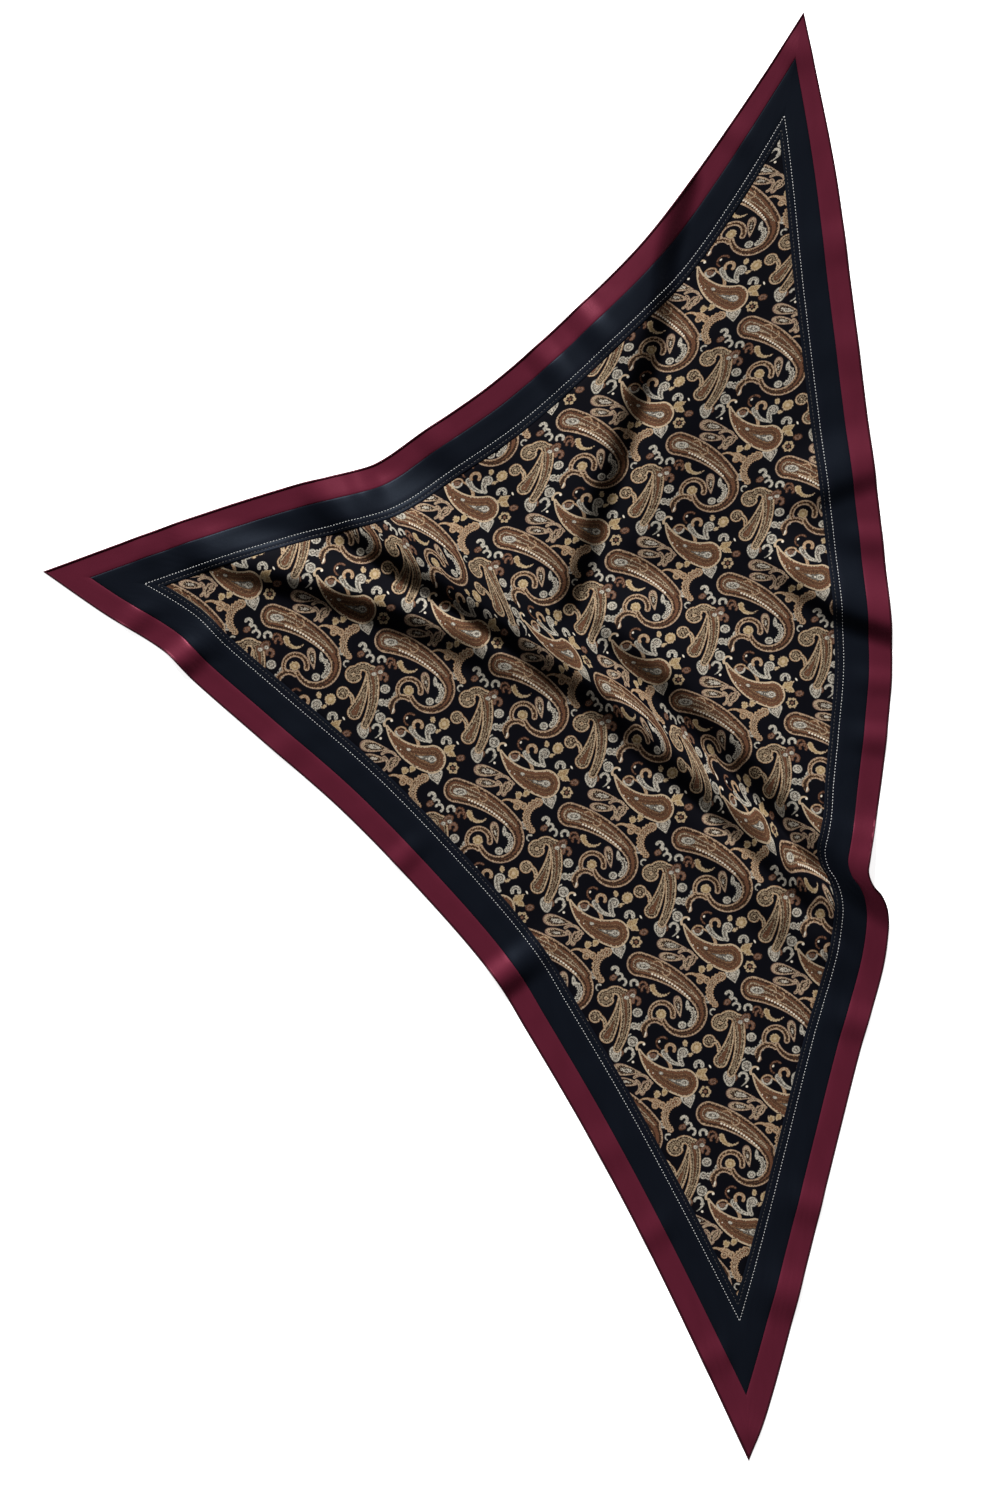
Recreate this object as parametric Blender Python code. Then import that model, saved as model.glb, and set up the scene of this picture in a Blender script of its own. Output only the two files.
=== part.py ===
"""Triangular paisley scarf, laid out flat with the folds it was dropped with.

Metres, +Z up. The origin is on the surface that the scarf lies on, under the middle of its plan.
Seen from above, the right-angled corner points to -X and the long edge faces +X.
The plan is worked out from three bowed edges, and every band is set in from them by its width.
The height of the cloth above the surface comes from a table of folds and a table of ripples.
"""

import math
from typing import NamedTuple

import bmesh
import bpy
import numpy as np
from mathutils import Vector
from mathutils.geometry import interpolate_bezier

MM = 0.001

# Cloth and bands, metres.
WALL = 0.0014
WINE_WIDTH = 0.0188
NAVY_WIDTH = 0.0275
HEM_WIDTH = 0.0018
HEM_RISE = 0.0007
SEAM_GAP = 0.0003
MITRE_TRIM = 0.0004

# How finely the shapes are cut.
CELLS = 54
EDGE_SAMPLES = 1600
CROWDING_SAMPLES = 2001
SPAN_STEPS = 24
FOLD_STEP = 0.002
CORNER_SEARCH = 480
CREST_POWER = 3.0
SHARP_ANGLE = math.radians(50)

# The long edge dips where three folds run out over it.
NOTCH_PLACE = 0.405
NOTCH_SPREAD = 0.045
NOTCH_CROWDING = 1.6
NOTCH_LEAN = math.radians(-36)
DIRECTION_WINDOW = 0.055


class Tip(NamedTuple):
    """A corner of the scarf: where it lies, and how much its bands narrow towards it."""

    x: float
    y: float
    narrowing: float


class Fold(NamedTuple):
    """A point on a fold's crest: its place, height and the reach of the slopes on both sides."""

    x: float
    y: float
    height: float
    left: float
    right: float


class Ripple(NamedTuple):
    """A short soft wave: its middle, the heading of its crest, half its length and width, height."""

    x: float
    y: float
    heading: float
    along: float
    across: float
    height: float


# Corners, millimetres and a share of the band's width.
TOP = Tip(269, 580, 0.25)
LEFT = Tip(-340, 132, 0.05)
BOTTOM = Tip(225, -580, -0.10)
TIP_REACH = 0.13

# Outer edge between the corners, millimetres: (x, y) of the points its bends need.
UPPER_BENDS = [
    (237, 530), (189, 460), (141, 396), (93, 348), (21, 284), (-39, 242),
    (-75, 218), (-111, 208), (-147, 199), (-219, 176),
]
LOWER_BENDS = [
    (-291, 98), (-243, 68), (-219, 44), (-171, 2), (-99, -61), (-27, -136),
    (21, -193), (45, -232), (93, -314), (141, -404), (189, -503),
]
LONG_BENDS = [
    (240, -541), (266, -445), (290, -349), (314, -253), (332, -189), (337, -155), (336, -139),
    (331, -127), (324, -119), (320, -109), (321, -99), (328, -61), (336, 3), (340, 67),
    (332, 163), (320, 259), (308, 355), (295, 451), (276, 547),
]

# Folds, millimetres. "left" and "right" are as seen when walking along the crest.
FOLDS = {
    "main": [
        Fold(-120, 205, 2, 30, 22),
        Fold(-94, 176, 8, 52, 24),
        Fold(-54, 149, 14, 80, 27),
        Fold(10, 107, 15, 78, 27),
        Fold(66, 68, 13, 50, 27),
        Fold(106, 40, 12, 26, 26),
        Fold(146, 5, 12, 18, 26),
        Fold(210, -52, 12, 17, 28),
        Fold(266, -112, 10, 18, 30),
        Fold(302, -142, 4, 24, 34),
        Fold(350, -178, 0, 30, 34),
    ],
    "below": [
        Fold(-236, 146, 0, 30, 18),
        Fold(-204, 143, 4, 34, 19),
        Fold(-150, 132, 8, 38, 20),
        Fold(-98, 117, 10, 36, 21),
        Fold(-46, 100, 10, 26, 23),
        Fold(-6, 82, 9, 22, 24),
        Fold(30, 61, 6, 20, 28),
        Fold(62, 33, 0, 20, 40),
    ],
    "above": [
        Fold(88, 118, 0, 50, 24),
        Fold(122, 88, 8, 74, 27),
        Fold(163, 55, 12, 84, 28),
        Fold(217, 0, 13, 84, 28),
        Fold(265, -55, 13, 66, 28),
        Fold(291, -87, 12, 52, 34),
        Fold(313, -102, 12, 48, 56),
        Fold(352, -112, 9, 44, 60),
    ],
    "upright": [
        Fold(168, 448, 7, 22, 46),
        Fold(154, 409, 9, 24, 58),
        Fold(146, 380, 11, 25, 70),
        Fold(144, 349, 12, 25, 78),
        Fold(133, 309, 13, 26, 80),
        Fold(120, 269, 13, 26, 78),
        Fold(108, 229, 13, 26, 76),
        Fold(93, 189, 13, 26, 74),
        Fold(80, 141, 12, 26, 64),
        Fold(67, 101, 8, 25, 50),
        Fold(60, 76, 0, 22, 30),
    ],
    "upright_right": [
        Fold(198, 361, 0, 50, 24),
        Fold(188, 325, 3, 60, 30),
        Fold(170, 269, 4, 60, 30),
        Fold(150, 213, 4, 60, 30),
        Fold(132, 157, 4, 54, 30),
        Fold(121, 117, 0, 50, 28),
    ],
    "lowest": [
        Fold(140, -28, 0, 22, 24),
        Fold(204, -91, 5, 24, 30),
        Fold(238, -125, 6, 26, 32),
        Fold(276, -160, 5, 26, 34),
        Fold(312, -192, 0, 26, 34),
    ],
    "side": [
        Fold(224, 164, 0, 36, 20),
        Fold(258, 132, 6, 40, 20),
        Fold(298, 106, 7, 42, 20),
        Fold(350, 88, 6, 42, 22),
    ],
    "side_upper": [
        Fold(240, 186, 0, 30, 20),
        Fold(270, 193, 3, 40, 20),
        Fold(298, 207, 4, 44, 22),
        Fold(350, 222, 3, 44, 22),
    ],
}

# Ripples where the bands cross the edge, millimetres and degrees from +X.
RIPPLES = [
    Ripple(262, 548, -40, 26, 18, 2.2),
    Ripple(208, 485, -35, 50, 18, 1.4),
    Ripple(93, 334, -50, 52, 18, 3.6),
    Ripple(59, 304, -52, 52, 17, 3.6),
    Ripple(-27, 238, -56, 42, 20, 3.0),
    Ripple(-86, 207, -68, 46, 17, 3.8),
    Ripple(-128, 195, -74, 42, 18, 4.0),
    Ripple(-228, 163, -68, 40, 20, 3.2),
    Ripple(-260, 151, -66, 30, 16, 2.2),
    Ripple(-264, 94, 46, 34, 14, 2.6),
    Ripple(-229, 60, 42, 60, 18, 5.6),
    Ripple(-150, -14, 46, 40, 24, 1.6),
    Ripple(-52, -98, 44, 36, 15, 2.0),
    Ripple(26, -194, 36, 70, 20, 6.0),
    Ripple(104, -334, 28, 45, 26, 1.4),
    Ripple(150, -396, 28, 36, 18, 1.8),
    Ripple(198, -496, 26, 28, 17, 2.2),
    Ripple(224, -556, 158, 30, 16, 1.8),
    Ripple(254, -446, 166, 42, 26, 4.0),
    Ripple(273, -375, 166, 40, 20, 2.6),
    Ripple(309, -228, 165, 40, 20, 2.6),
    Ripple(316, -76, 168, 40, 14, 1.4),
    Ripple(325, -2, 172, 40, 17, 2.2),
    Ripple(329, 44, 174, 36, 15, 1.6),
    Ripple(322, 158, 174, 36, 17, 2.0),
    Ripple(314, 309, 172, 50, 26, 1.2),
    Ripple(302, 396, 180, 40, 24, 1.8),
]

# Cloths: name, colour, roughness and metallic value.
PRINT_CLOTH = ("printed_cloth", (0.105, 0.075, 0.052), 0.55, 0.0)
NAVY_SATIN = ("navy_satin", (0.0045, 0.0055, 0.0100), 0.42, 0.0)
WINE_SATIN = ("wine_satin", (0.090, 0.0110, 0.0220), 0.36, 0.0)

EDGE_NAMES = ("upper", "lower", "long")


def clear_scene():
    """Remove every object of the scene that the file opened with."""
    for item in list(bpy.data.objects):
        bpy.data.objects.remove(item, do_unlink=True)


def smooth_line(points):
    """A soft curve through the points, as a dense line: each span is a Bezier curve."""
    knots = [Vector((*point, 0.0)) for point in points]
    spans = [(b - a).length for a, b in zip(knots, knots[1:])]
    slopes = [(knots[1] - knots[0]) / spans[0]]
    for i in range(1, len(knots) - 1):
        slopes.append((knots[i + 1] - knots[i - 1]) / (spans[i - 1] + spans[i]))
    slopes.append((knots[-1] - knots[-2]) / spans[-1])
    line = [knots[0]]
    for i, span in enumerate(spans):
        start_handle = knots[i] + slopes[i] * span / 3
        end_handle = knots[i + 1] - slopes[i + 1] * span / 3
        curve = interpolate_bezier(knots[i], start_handle, end_handle, knots[i + 1], SPAN_STEPS)
        line.extend(curve[1:])
    return np.array([point.xy for point in line])


def lengths_along(line):
    """The distance from the start of a line to each of its points."""
    steps = np.linalg.norm(np.diff(line, axis=0), axis=1)
    return np.concatenate([[0.0], np.cumsum(steps)])


def evenly(line, count):
    """The line again, with count points at even distances."""
    lengths = lengths_along(line)
    places = np.linspace(0.0, lengths[-1], count)
    return np.column_stack([np.interp(places, lengths, line[:, k]) for k in (0, 1)])


class Edge:
    """One outer edge of the scarf, walked with the cloth on its left."""

    def __init__(self, start, bends, end, lean=0.0):
        corners = [(start.x, start.y), *bends, (end.x, end.y)]
        self.line = evenly(smooth_line(corners) * MM, EDGE_SAMPLES)
        self.length = lengths_along(self.line)[-1]
        self.place = np.linspace(0.0, 1.0, EDGE_SAMPLES)
        self.inward = self.directions(lean)
        self.share = self.width_share(start, end)

    def directions(self, lean):
        """Unit vectors into the cloth, evened out, and turned where the edge dips."""
        half = round(DIRECTION_WINDOW / self.length * EDGE_SAMPLES)
        along = np.gradient(self.line, axis=0)
        padded = np.pad(along, ((half, half), (0, 0)), mode="edge")
        window = np.hanning(2 * half + 1)
        even = np.column_stack([np.convolve(padded[:, k], window, "valid") for k in (0, 1)])
        even /= np.linalg.norm(even, axis=1)[:, None]
        turn = lean * np.exp(-(((self.place - NOTCH_PLACE) / NOTCH_SPREAD) ** 2))
        inward = np.column_stack([-even[:, 1], even[:, 0]])
        cosine, sine = np.cos(turn), np.sin(turn)
        return np.column_stack([
            inward[:, 0] * cosine - inward[:, 1] * sine,
            inward[:, 0] * sine + inward[:, 1] * cosine,
        ])

    def width_share(self, start, end):
        """How much of its full width a band keeps at each place along the edge."""
        from_start = self.place * self.length
        from_end = self.length - from_start
        near_start = np.exp(-((from_start / TIP_REACH) ** 2))
        near_end = np.exp(-((from_end / TIP_REACH) ** 2))
        return 1.0 - start.narrowing * near_start - end.narrowing * near_end

    def inset(self, distance):
        """The edge moved into the cloth by a distance."""
        return self.line + self.inward * (distance * self.share)[:, None]


def crossing(leaving, arriving):
    """Where two inset edges meet at a corner, as a place along each of them in samples."""
    tail = leaving[-CORNER_SEARCH:]
    head = arriving[:CORNER_SEARCH]
    gaps = np.linalg.norm(tail[:, None] - head[None], axis=2)
    i, j = np.unravel_index(gaps.argmin(), gaps.shape)
    i = min(max(i, 1), CORNER_SEARCH - 2)
    j = min(max(j, 1), CORNER_SEARCH - 2)
    step_tail = (tail[i + 1] - tail[i - 1]) / 2
    step_head = (head[j + 1] - head[j - 1]) / 2
    shift = np.linalg.solve(np.column_stack([step_tail, -step_head]), head[j] - tail[i])
    return EDGE_SAMPLES - CORNER_SEARCH + i + shift[0], j + shift[1]


class Ring:
    """The closed line a given distance inside the scarf's outer edge, in three spans."""

    def __init__(self, edges, distance):
        last = EDGE_SAMPLES - 1
        self.lines = [edge.inset(distance) for edge in edges]
        self.starts = [0.0, 0.0, 0.0]
        self.ends = [float(last)] * 3
        if distance > 0:
            for k in range(3):
                after = (k + 1) % 3
                self.ends[k], self.starts[after] = crossing(self.lines[k], self.lines[after])

    def point(self, side, share):
        """The point at a share of one span's way, from its first corner to its second."""
        place = self.starts[side] + (self.ends[side] - self.starts[side]) * share
        samples = np.arange(EDGE_SAMPLES)
        return np.array([np.interp(place, samples, self.lines[side][:, k]) for k in (0, 1)])


def crowded(share):
    """Mesh stations on the long edge, closer together where the edge dips."""
    places = np.linspace(0.0, 1.0, CROWDING_SAMPLES)
    density = 1.0 + NOTCH_CROWDING * np.exp(-(((places - NOTCH_PLACE) / (2 * NOTCH_SPREAD)) ** 2))
    counted = np.cumsum(density) - density[0]
    return float(np.interp(share, counted / counted[-1], places))


def station(side, share):
    """Where the mesh line at this share of an edge really lies."""
    return crowded(share) if side == 2 else share


def bell(distance):
    """1 at the middle and exactly 0 from a distance of 1 on."""
    return 0.5 * (1.0 + np.cos(np.pi * np.clip(np.abs(distance), 0.0, 1.0)))


def fold_height(plan, rows):
    """How high one fold lifts the cloth at each plan point."""
    crest = smooth_line([(row.x, row.y) for row in rows]) * MM
    spots = lengths_along(np.array([(row.x, row.y) for row in rows]) * MM)
    spots *= lengths_along(crest)[-1] / spots[-1]
    count = round(lengths_along(crest)[-1] / FOLD_STEP)
    crest = evenly(crest, count)
    along = np.gradient(crest, axis=0)
    step = np.linalg.norm(along, axis=1)
    along /= step[:, None]
    nearest = np.empty(len(plan), int)
    for k, point in enumerate(plan):
        nearest[k] = np.argmin(((crest - point) ** 2).sum(axis=1))
    away = plan - crest[nearest]
    ahead = (away * along[nearest]).sum(axis=1)
    aside = along[nearest][:, 0] * away[:, 1] - along[nearest][:, 1] * away[:, 0]
    overshoot = np.where((nearest == 0) | (nearest == count - 1), np.abs(ahead), 0.0)
    travelled = np.cumsum(step)[nearest] - step[0] + np.clip(ahead, -FOLD_STEP, FOLD_STEP)
    height = np.interp(travelled, spots, [row.height * MM for row in rows])
    left = np.interp(travelled, spots, [row.left * MM for row in rows])
    right = np.interp(travelled, spots, [row.right * MM for row in rows])
    reach = np.where(aside > 0, left, right)
    return height * bell(np.hypot(aside, overshoot) / reach)


def ripple_height(plan, ripple):
    """How high one ripple lifts the cloth at each plan point."""
    away = plan - np.array([ripple.x, ripple.y]) * MM
    heading = math.radians(ripple.heading)
    along = away[:, 0] * math.cos(heading) + away[:, 1] * math.sin(heading)
    across = away[:, 1] * math.cos(heading) - away[:, 0] * math.sin(heading)
    shape = bell(along / (ripple.along * MM)) * bell(across / (ripple.across * MM))
    return ripple.height * MM * shape


def cloth_height(plan):
    """The underside of the cloth above the surface: where folds meet, the crests run together."""
    total = np.zeros(len(plan))
    for rows in FOLDS.values():
        total += fold_height(plan, rows) ** CREST_POWER
    lifted = total ** (1.0 / CREST_POWER)
    for ripple in RIPPLES:
        lifted = lifted + ripple_height(plan, ripple)
    return lifted


def raise_wall(bm, plan, thickness):
    """Lay the sheet on its plan and its folds, and give it its thickness straight up."""
    wall = bm.verts.layers.float.new("wall")
    height = cloth_height(plan)
    for k, vert in enumerate(bm.verts):
        vert.co = (plan[k][0], plan[k][1], height[k])
        vert[wall] = thickness[k]
    grown = bmesh.ops.extrude_face_region(bm, geom=bm.faces[:])
    for item in grown["geom"]:
        if isinstance(item, bmesh.types.BMVert):
            item.co.z += item[wall]
    bmesh.ops.recalc_face_normals(bm, faces=bm.faces[:])


def finish_piece(bm, name, finish, collection):
    """Turn the shape into a named object with its own material."""
    mesh = bpy.data.meshes.new(name)
    bm.to_mesh(mesh)
    bm.free()
    mesh.shade_smooth()
    mesh.set_sharp_from_angle(angle=SHARP_ANGLE)
    piece = bpy.data.objects.new(name, mesh)
    collection.objects.link(piece)
    slot, colour, roughness, metallic = finish
    material = bpy.data.materials.new(f"{slot}_{name}")
    material.use_nodes = True
    shader = material.node_tree.nodes["Principled BSDF"]
    shader.inputs["Base Color"].default_value = (*colour, 1.0)
    shader.inputs["Roughness"].default_value = roughness
    shader.inputs["Metallic"].default_value = metallic
    mesh.materials.append(material)
    return piece


def make_band(name, finish, rings, side, extra, collection):
    """A strip along one edge, between the first ring and the last, with mitred ends."""
    bm = bmesh.new()
    rows = len(rings) - 1
    bmesh.ops.create_grid(bm, x_segments=CELLS, y_segments=rows, size=1.0)
    trim = MITRE_TRIM / lengths_along(rings[0].lines[side])[-1]
    plan = np.empty((len(bm.verts), 2))
    thickness = np.full(len(bm.verts), WALL)
    for k, vert in enumerate(bm.verts):
        row = round((vert.co.y + 1) / 2 * rows)
        share = station(side, round((vert.co.x + 1) / 2 * CELLS) / CELLS)
        plan[k] = rings[row].point(side, trim + (1 - 2 * trim) * share)
        thickness[k] += extra[row]
    raise_wall(bm, plan, thickness)
    return finish_piece(bm, name, finish, collection)


def panel_plan(ring, reach, across):
    """A plan point of the print: reach runs from the left corner, across from leg to leg."""
    across += (1 - crowded(1 - across) - across) * reach
    upper_leg = ring.point(0, 1 - reach)
    lower_leg = ring.point(1, reach)
    chord = ring.point(0, 0.0) * (1 - across) + ring.point(1, 1.0) * across
    bow = ring.point(2, 1 - across) - chord
    return upper_leg * (1 - across) + lower_leg * across + bow * reach


def make_panel(name, finish, ring, collection):
    """The printed triangle: a corner split again and again, then laid in its ring."""
    bm = bmesh.new()
    corners = [bm.verts.new(spot) for spot in ((0, 0, 0), (1, 0, 0), (1, 1, 0))]
    bm.faces.new(corners)
    bmesh.ops.subdivide_edges(bm, edges=bm.edges[:], cuts=CELLS - 1, use_grid_fill=True)
    plan = np.empty((len(bm.verts), 2))
    for k, vert in enumerate(bm.verts):
        reach = round(vert.co.x * CELLS) / CELLS
        across = vert.co.y / reach if reach > 0 else 0.0
        plan[k] = panel_plan(ring, reach, across)
    raise_wall(bm, plan, np.full(len(bm.verts), WALL))
    return finish_piece(bm, name, finish, collection)


def build_scarf():
    """Lay the printed triangle, the navy bands round it and the wine bands round those."""
    clear_scene()
    collection = bpy.data.collections.new("paisley_scarf")
    bpy.context.scene.collection.children.link(collection)
    edges = [
        Edge(TOP, UPPER_BENDS, LEFT),
        Edge(LEFT, LOWER_BENDS, BOTTOM),
        Edge(BOTTOM, LONG_BENDS, TOP, lean=NOTCH_LEAN),
    ]
    half_gap = SEAM_GAP / 2
    seam = WINE_WIDTH
    print_edge = WINE_WIDTH + NAVY_WIDTH
    wine_middle = (HEM_WIDTH + seam) / 2
    navy_middle = (seam + print_edge) / 2
    wine_rings = [Ring(edges, d) for d in (0.0, HEM_WIDTH, wine_middle, seam - half_gap)]
    navy_rings = [
        Ring(edges, d) for d in (seam + half_gap, navy_middle, print_edge - half_gap)
    ]
    panel_ring = Ring(edges, print_edge + half_gap)
    roll = (HEM_RISE, HEM_RISE, 0.0, 0.0)
    plain = (0.0, 0.0, 0.0)
    make_panel("paisley_panel", PRINT_CLOTH, panel_ring, collection)
    for side, edge_name in enumerate(EDGE_NAMES):
        make_band(f"navy_band_{edge_name}", NAVY_SATIN, navy_rings, side, plain, collection)
        make_band(f"wine_band_{edge_name}", WINE_SATIN, wine_rings, side, roll, collection)


build_scarf()
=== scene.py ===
"""Looks of a triangular paisley scarf that lies flat: print, satin bands, hem and stitches."""

import logging
import math
from dataclasses import dataclass
from enum import Enum
from typing import Any, NamedTuple

import bmesh
import bpy
import numpy as np
from mathutils import Matrix, Vector
from mathutils.geometry import interpolate_bezier


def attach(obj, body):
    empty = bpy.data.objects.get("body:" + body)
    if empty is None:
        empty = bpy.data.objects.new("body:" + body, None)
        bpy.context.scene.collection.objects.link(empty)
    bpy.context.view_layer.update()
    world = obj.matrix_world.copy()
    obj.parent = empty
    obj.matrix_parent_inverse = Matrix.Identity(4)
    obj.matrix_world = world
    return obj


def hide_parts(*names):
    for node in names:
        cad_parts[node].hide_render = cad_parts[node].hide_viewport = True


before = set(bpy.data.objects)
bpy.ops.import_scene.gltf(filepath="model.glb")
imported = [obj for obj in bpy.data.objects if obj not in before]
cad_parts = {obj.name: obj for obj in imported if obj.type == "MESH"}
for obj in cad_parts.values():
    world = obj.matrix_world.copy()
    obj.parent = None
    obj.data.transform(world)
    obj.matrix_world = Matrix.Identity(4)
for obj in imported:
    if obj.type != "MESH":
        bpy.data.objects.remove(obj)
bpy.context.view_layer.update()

LOG = logging.getLogger("scarf")
ROOT = "root"
MM = 0.001

# Bands and cloth, metres; the profiles give depth inside the outer edge and thickness, mm.
WINE_WIDTH = 0.0188
NAVY_WIDTH = 0.0275
PRINT_EDGE = WINE_WIDTH + NAVY_WIDTH
CLOTH = 0.0008
# How far in from the outer edge the painted shade on the rolled hem reaches, metres.
HEM_SHADE_WIDTH = 0.0023
WINE_PROFILE = (
    (0.0, 0.3), (0.25, 1.0), (0.7, 1.5), (1.2, 1.5), (1.6, 1.15), (1.85, 0.8), (2.5, 0.8),
    (6.0, 0.8), (10.0, 0.8), (14.0, 0.8), (17.4, 0.8), (18.4, 0.65), (18.8, 0.45),
)
NAVY_PROFILE = (
    (18.8, 0.45), (19.2, 0.65), (20.2, 0.8), (24.0, 0.8), (29.0, 0.8), (34.0, 0.8), (38.2, 0.8),
    (39.1, 0.6), (40.0, 0.8), (43.0, 0.8), (43.5, 0.65), (44.2, 0.8), (45.7, 0.9), (46.3, 0.5),
)

# Sewing, metres.
WHITE_ROW = WINE_WIDTH + 0.0203
DARK_ROW = WHITE_ROW + 0.0044
STITCHES_AT_ONCE = 20

# Small unevenness of the laid cloth: its waves' slope, their shortest, longest and number.
CREASE_SEED = 11
CREASE_SLOPE = 0.0009
CREASE_LENGTHS = (0.016, 0.07, 14)
THINNEST_SHARE = 0.6
SHARP_ANGLE = math.radians(60)

# The long edge dips where three folds run out over it.
NOTCH_PLACE = 0.405
NOTCH_SPREAD = 0.045
NOTCH_CROWDING = 1.6
NOTCH_LEAN = math.radians(-36)

# Over what length an edge's way inwards is evened out, and how far a corner narrows its bands.
DIRECTION_WINDOW = 0.055
TIP_REACH = 0.13

# How finely lines and sheets are cut.
EDGE_SAMPLES = 3000
CROWDING_SAMPLES = 2001
CORNER_SEARCH = 900
CORNER_STRIDE = 10
SPAN_STEPS = 24
FOLD_STEP = 0.002
POINTS_AT_ONCE = 4096
PANEL_CELLS = 240
BAND_CELLS = 420

# How far the folds lift the cloth, and how sharply one gives way to the next.
FOLD_LIFT = 1.3
CREST_POWER = 3.0

# How the main fold draws the print in: from where on, over what way, and by how much.
DRAWN_FROM = -0.012
DRAWN_OVER = 0.042
DRAWN_FOOT = 0.045
DRAWN_REACH = 0.308
DRAWN_SIDEWAYS = (-0.0384, 0.0464)
DRAWN_UPWARDS = (0.0096, -0.0216)

# The print's chart: one step in metres; depths of ink, and a bead's swell, in steps.
CLOTH_UV = "ClothUV"
STILL = (0.0, 0.0, 0.0)
CHART_STEP = 0.0008
INK_REACH = 16.0
RIM_PLACE = 0.02
RIM_SHARPNESS = 48.0
BEAD_SWELL = 0.6

# Photograph's frame, metres on the floor.
FRAME_HEIGHT = 1.2
FRAME_CENTRE = (0.026, -0.0108)


class Cloth(Enum):
    """The record's material slots."""

    PRINT = "printed_cloth"
    NAVY = "navy_satin"
    WINE = "wine_satin"


class Side(Enum):
    """The three edges, walked with the cloth on the left."""

    UPPER = 0
    LOWER = 1
    LONG = 2


class Tip(NamedTuple):
    """A corner of the scarf, millimetres, and how much its bands narrow towards it."""

    x: float
    y: float
    narrowing: float


class Fold(NamedTuple):
    """A point on a fold's crest, millimetres: place, height, reach of the slopes on both sides."""

    x: float
    y: float
    height: float
    left: float
    right: float


class Ripple(NamedTuple):
    """A short soft wave: middle, crest's heading in degrees, half length, half width, height."""

    x: float
    y: float
    heading: float
    along: float
    across: float
    height: float


class Sewing(NamedTuple):
    """A row of stitches: thread, depth inside the edge, pitch, a stitch's size, its straying."""

    thread: str
    distance: float
    pitch: float
    length: float
    width: float
    stray: float
    seed: int


WHITE_SEWING = Sewing("white", WHITE_ROW, 0.0025, 0.0016, 0.00055, 0.05, 3)
DARK_SEWING = Sewing("dark", DARK_ROW, 0.0030, 0.0021, 0.0007, 0.12, 5)

# The outer edges: corners, and places in between, millimetres.
TOP = Tip(269, 580, 0.25)
LEFT = Tip(-340, 132, 0.05)
BOTTOM = Tip(225, -580, -0.10)

UPPER_BENDS = [
    (237, 530), (189, 460), (141, 396), (93, 348), (21, 284), (-39, 242),
    (-75, 218), (-111, 208), (-147, 199), (-219, 176),
]
LOWER_BENDS = [
    (-291, 98), (-243, 68), (-219, 44), (-171, 2), (-99, -61), (-27, -136),
    (21, -193), (45, -232), (93, -314), (141, -404), (189, -503),
]
LONG_BENDS = [
    (240, -541), (266, -445), (290, -349), (314, -253), (332, -189), (337, -155), (336, -139),
    (331, -127), (324, -119), (320, -109), (321, -99), (328, -61), (336, 3), (340, 67),
    (332, 163), (320, 259), (308, 355), (295, 451), (276, 547),
]

# The folds and ripples that the scarf was laid with, millimetres.
FOLDS = {
    "main": [
        Fold(-120, 205, 2, 30, 22),
        Fold(-94, 176, 8, 52, 24),
        Fold(-54, 149, 14, 80, 27),
        Fold(10, 107, 15, 78, 27),
        Fold(66, 68, 13, 50, 27),
        Fold(106, 40, 12, 26, 26),
        Fold(146, 5, 12, 18, 26),
        Fold(210, -52, 12, 17, 28),
        Fold(266, -112, 10, 18, 30),
        Fold(302, -142, 4, 24, 34),
        Fold(350, -178, 0, 30, 34),
    ],
    "below": [
        Fold(-236, 146, 0, 30, 18),
        Fold(-204, 143, 4, 34, 19),
        Fold(-150, 132, 8, 38, 20),
        Fold(-98, 117, 10, 36, 21),
        Fold(-46, 100, 10, 26, 23),
        Fold(-6, 82, 9, 22, 24),
        Fold(30, 61, 6, 20, 28),
        Fold(62, 33, 0, 20, 40),
    ],
    "above": [
        Fold(88, 118, 0, 50, 24),
        Fold(122, 88, 8, 74, 27),
        Fold(163, 55, 12, 84, 28),
        Fold(217, 0, 13, 84, 28),
        Fold(265, -55, 13, 66, 28),
        Fold(291, -87, 12, 52, 34),
        Fold(313, -102, 12, 48, 56),
        Fold(352, -112, 9, 44, 60),
    ],
    "upright": [
        Fold(168, 448, 7, 22, 46),
        Fold(154, 409, 9, 24, 58),
        Fold(146, 380, 11, 25, 70),
        Fold(144, 349, 12, 25, 78),
        Fold(133, 309, 13, 26, 80),
        Fold(120, 269, 13, 26, 78),
        Fold(108, 229, 13, 26, 76),
        Fold(93, 189, 13, 26, 74),
        Fold(80, 141, 12, 26, 64),
        Fold(67, 101, 8, 25, 50),
        Fold(60, 76, 0, 22, 30),
    ],
    "upright_right": [
        Fold(198, 361, 0, 50, 24),
        Fold(188, 325, 3, 60, 30),
        Fold(170, 269, 4, 60, 30),
        Fold(150, 213, 4, 60, 30),
        Fold(132, 157, 4, 54, 30),
        Fold(121, 117, 0, 50, 28),
    ],
    "lowest": [
        Fold(140, -28, 0, 22, 24),
        Fold(204, -91, 5, 24, 30),
        Fold(238, -125, 6, 26, 32),
        Fold(276, -160, 5, 26, 34),
        Fold(312, -192, 0, 26, 34),
    ],
    "side": [
        Fold(224, 164, 0, 36, 20),
        Fold(258, 132, 6, 40, 20),
        Fold(298, 106, 7, 42, 20),
        Fold(350, 88, 6, 42, 22),
    ],
    "side_upper": [
        Fold(240, 186, 0, 30, 20),
        Fold(270, 193, 3, 40, 20),
        Fold(298, 207, 4, 44, 22),
        Fold(350, 222, 3, 44, 22),
    ],
}

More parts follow.
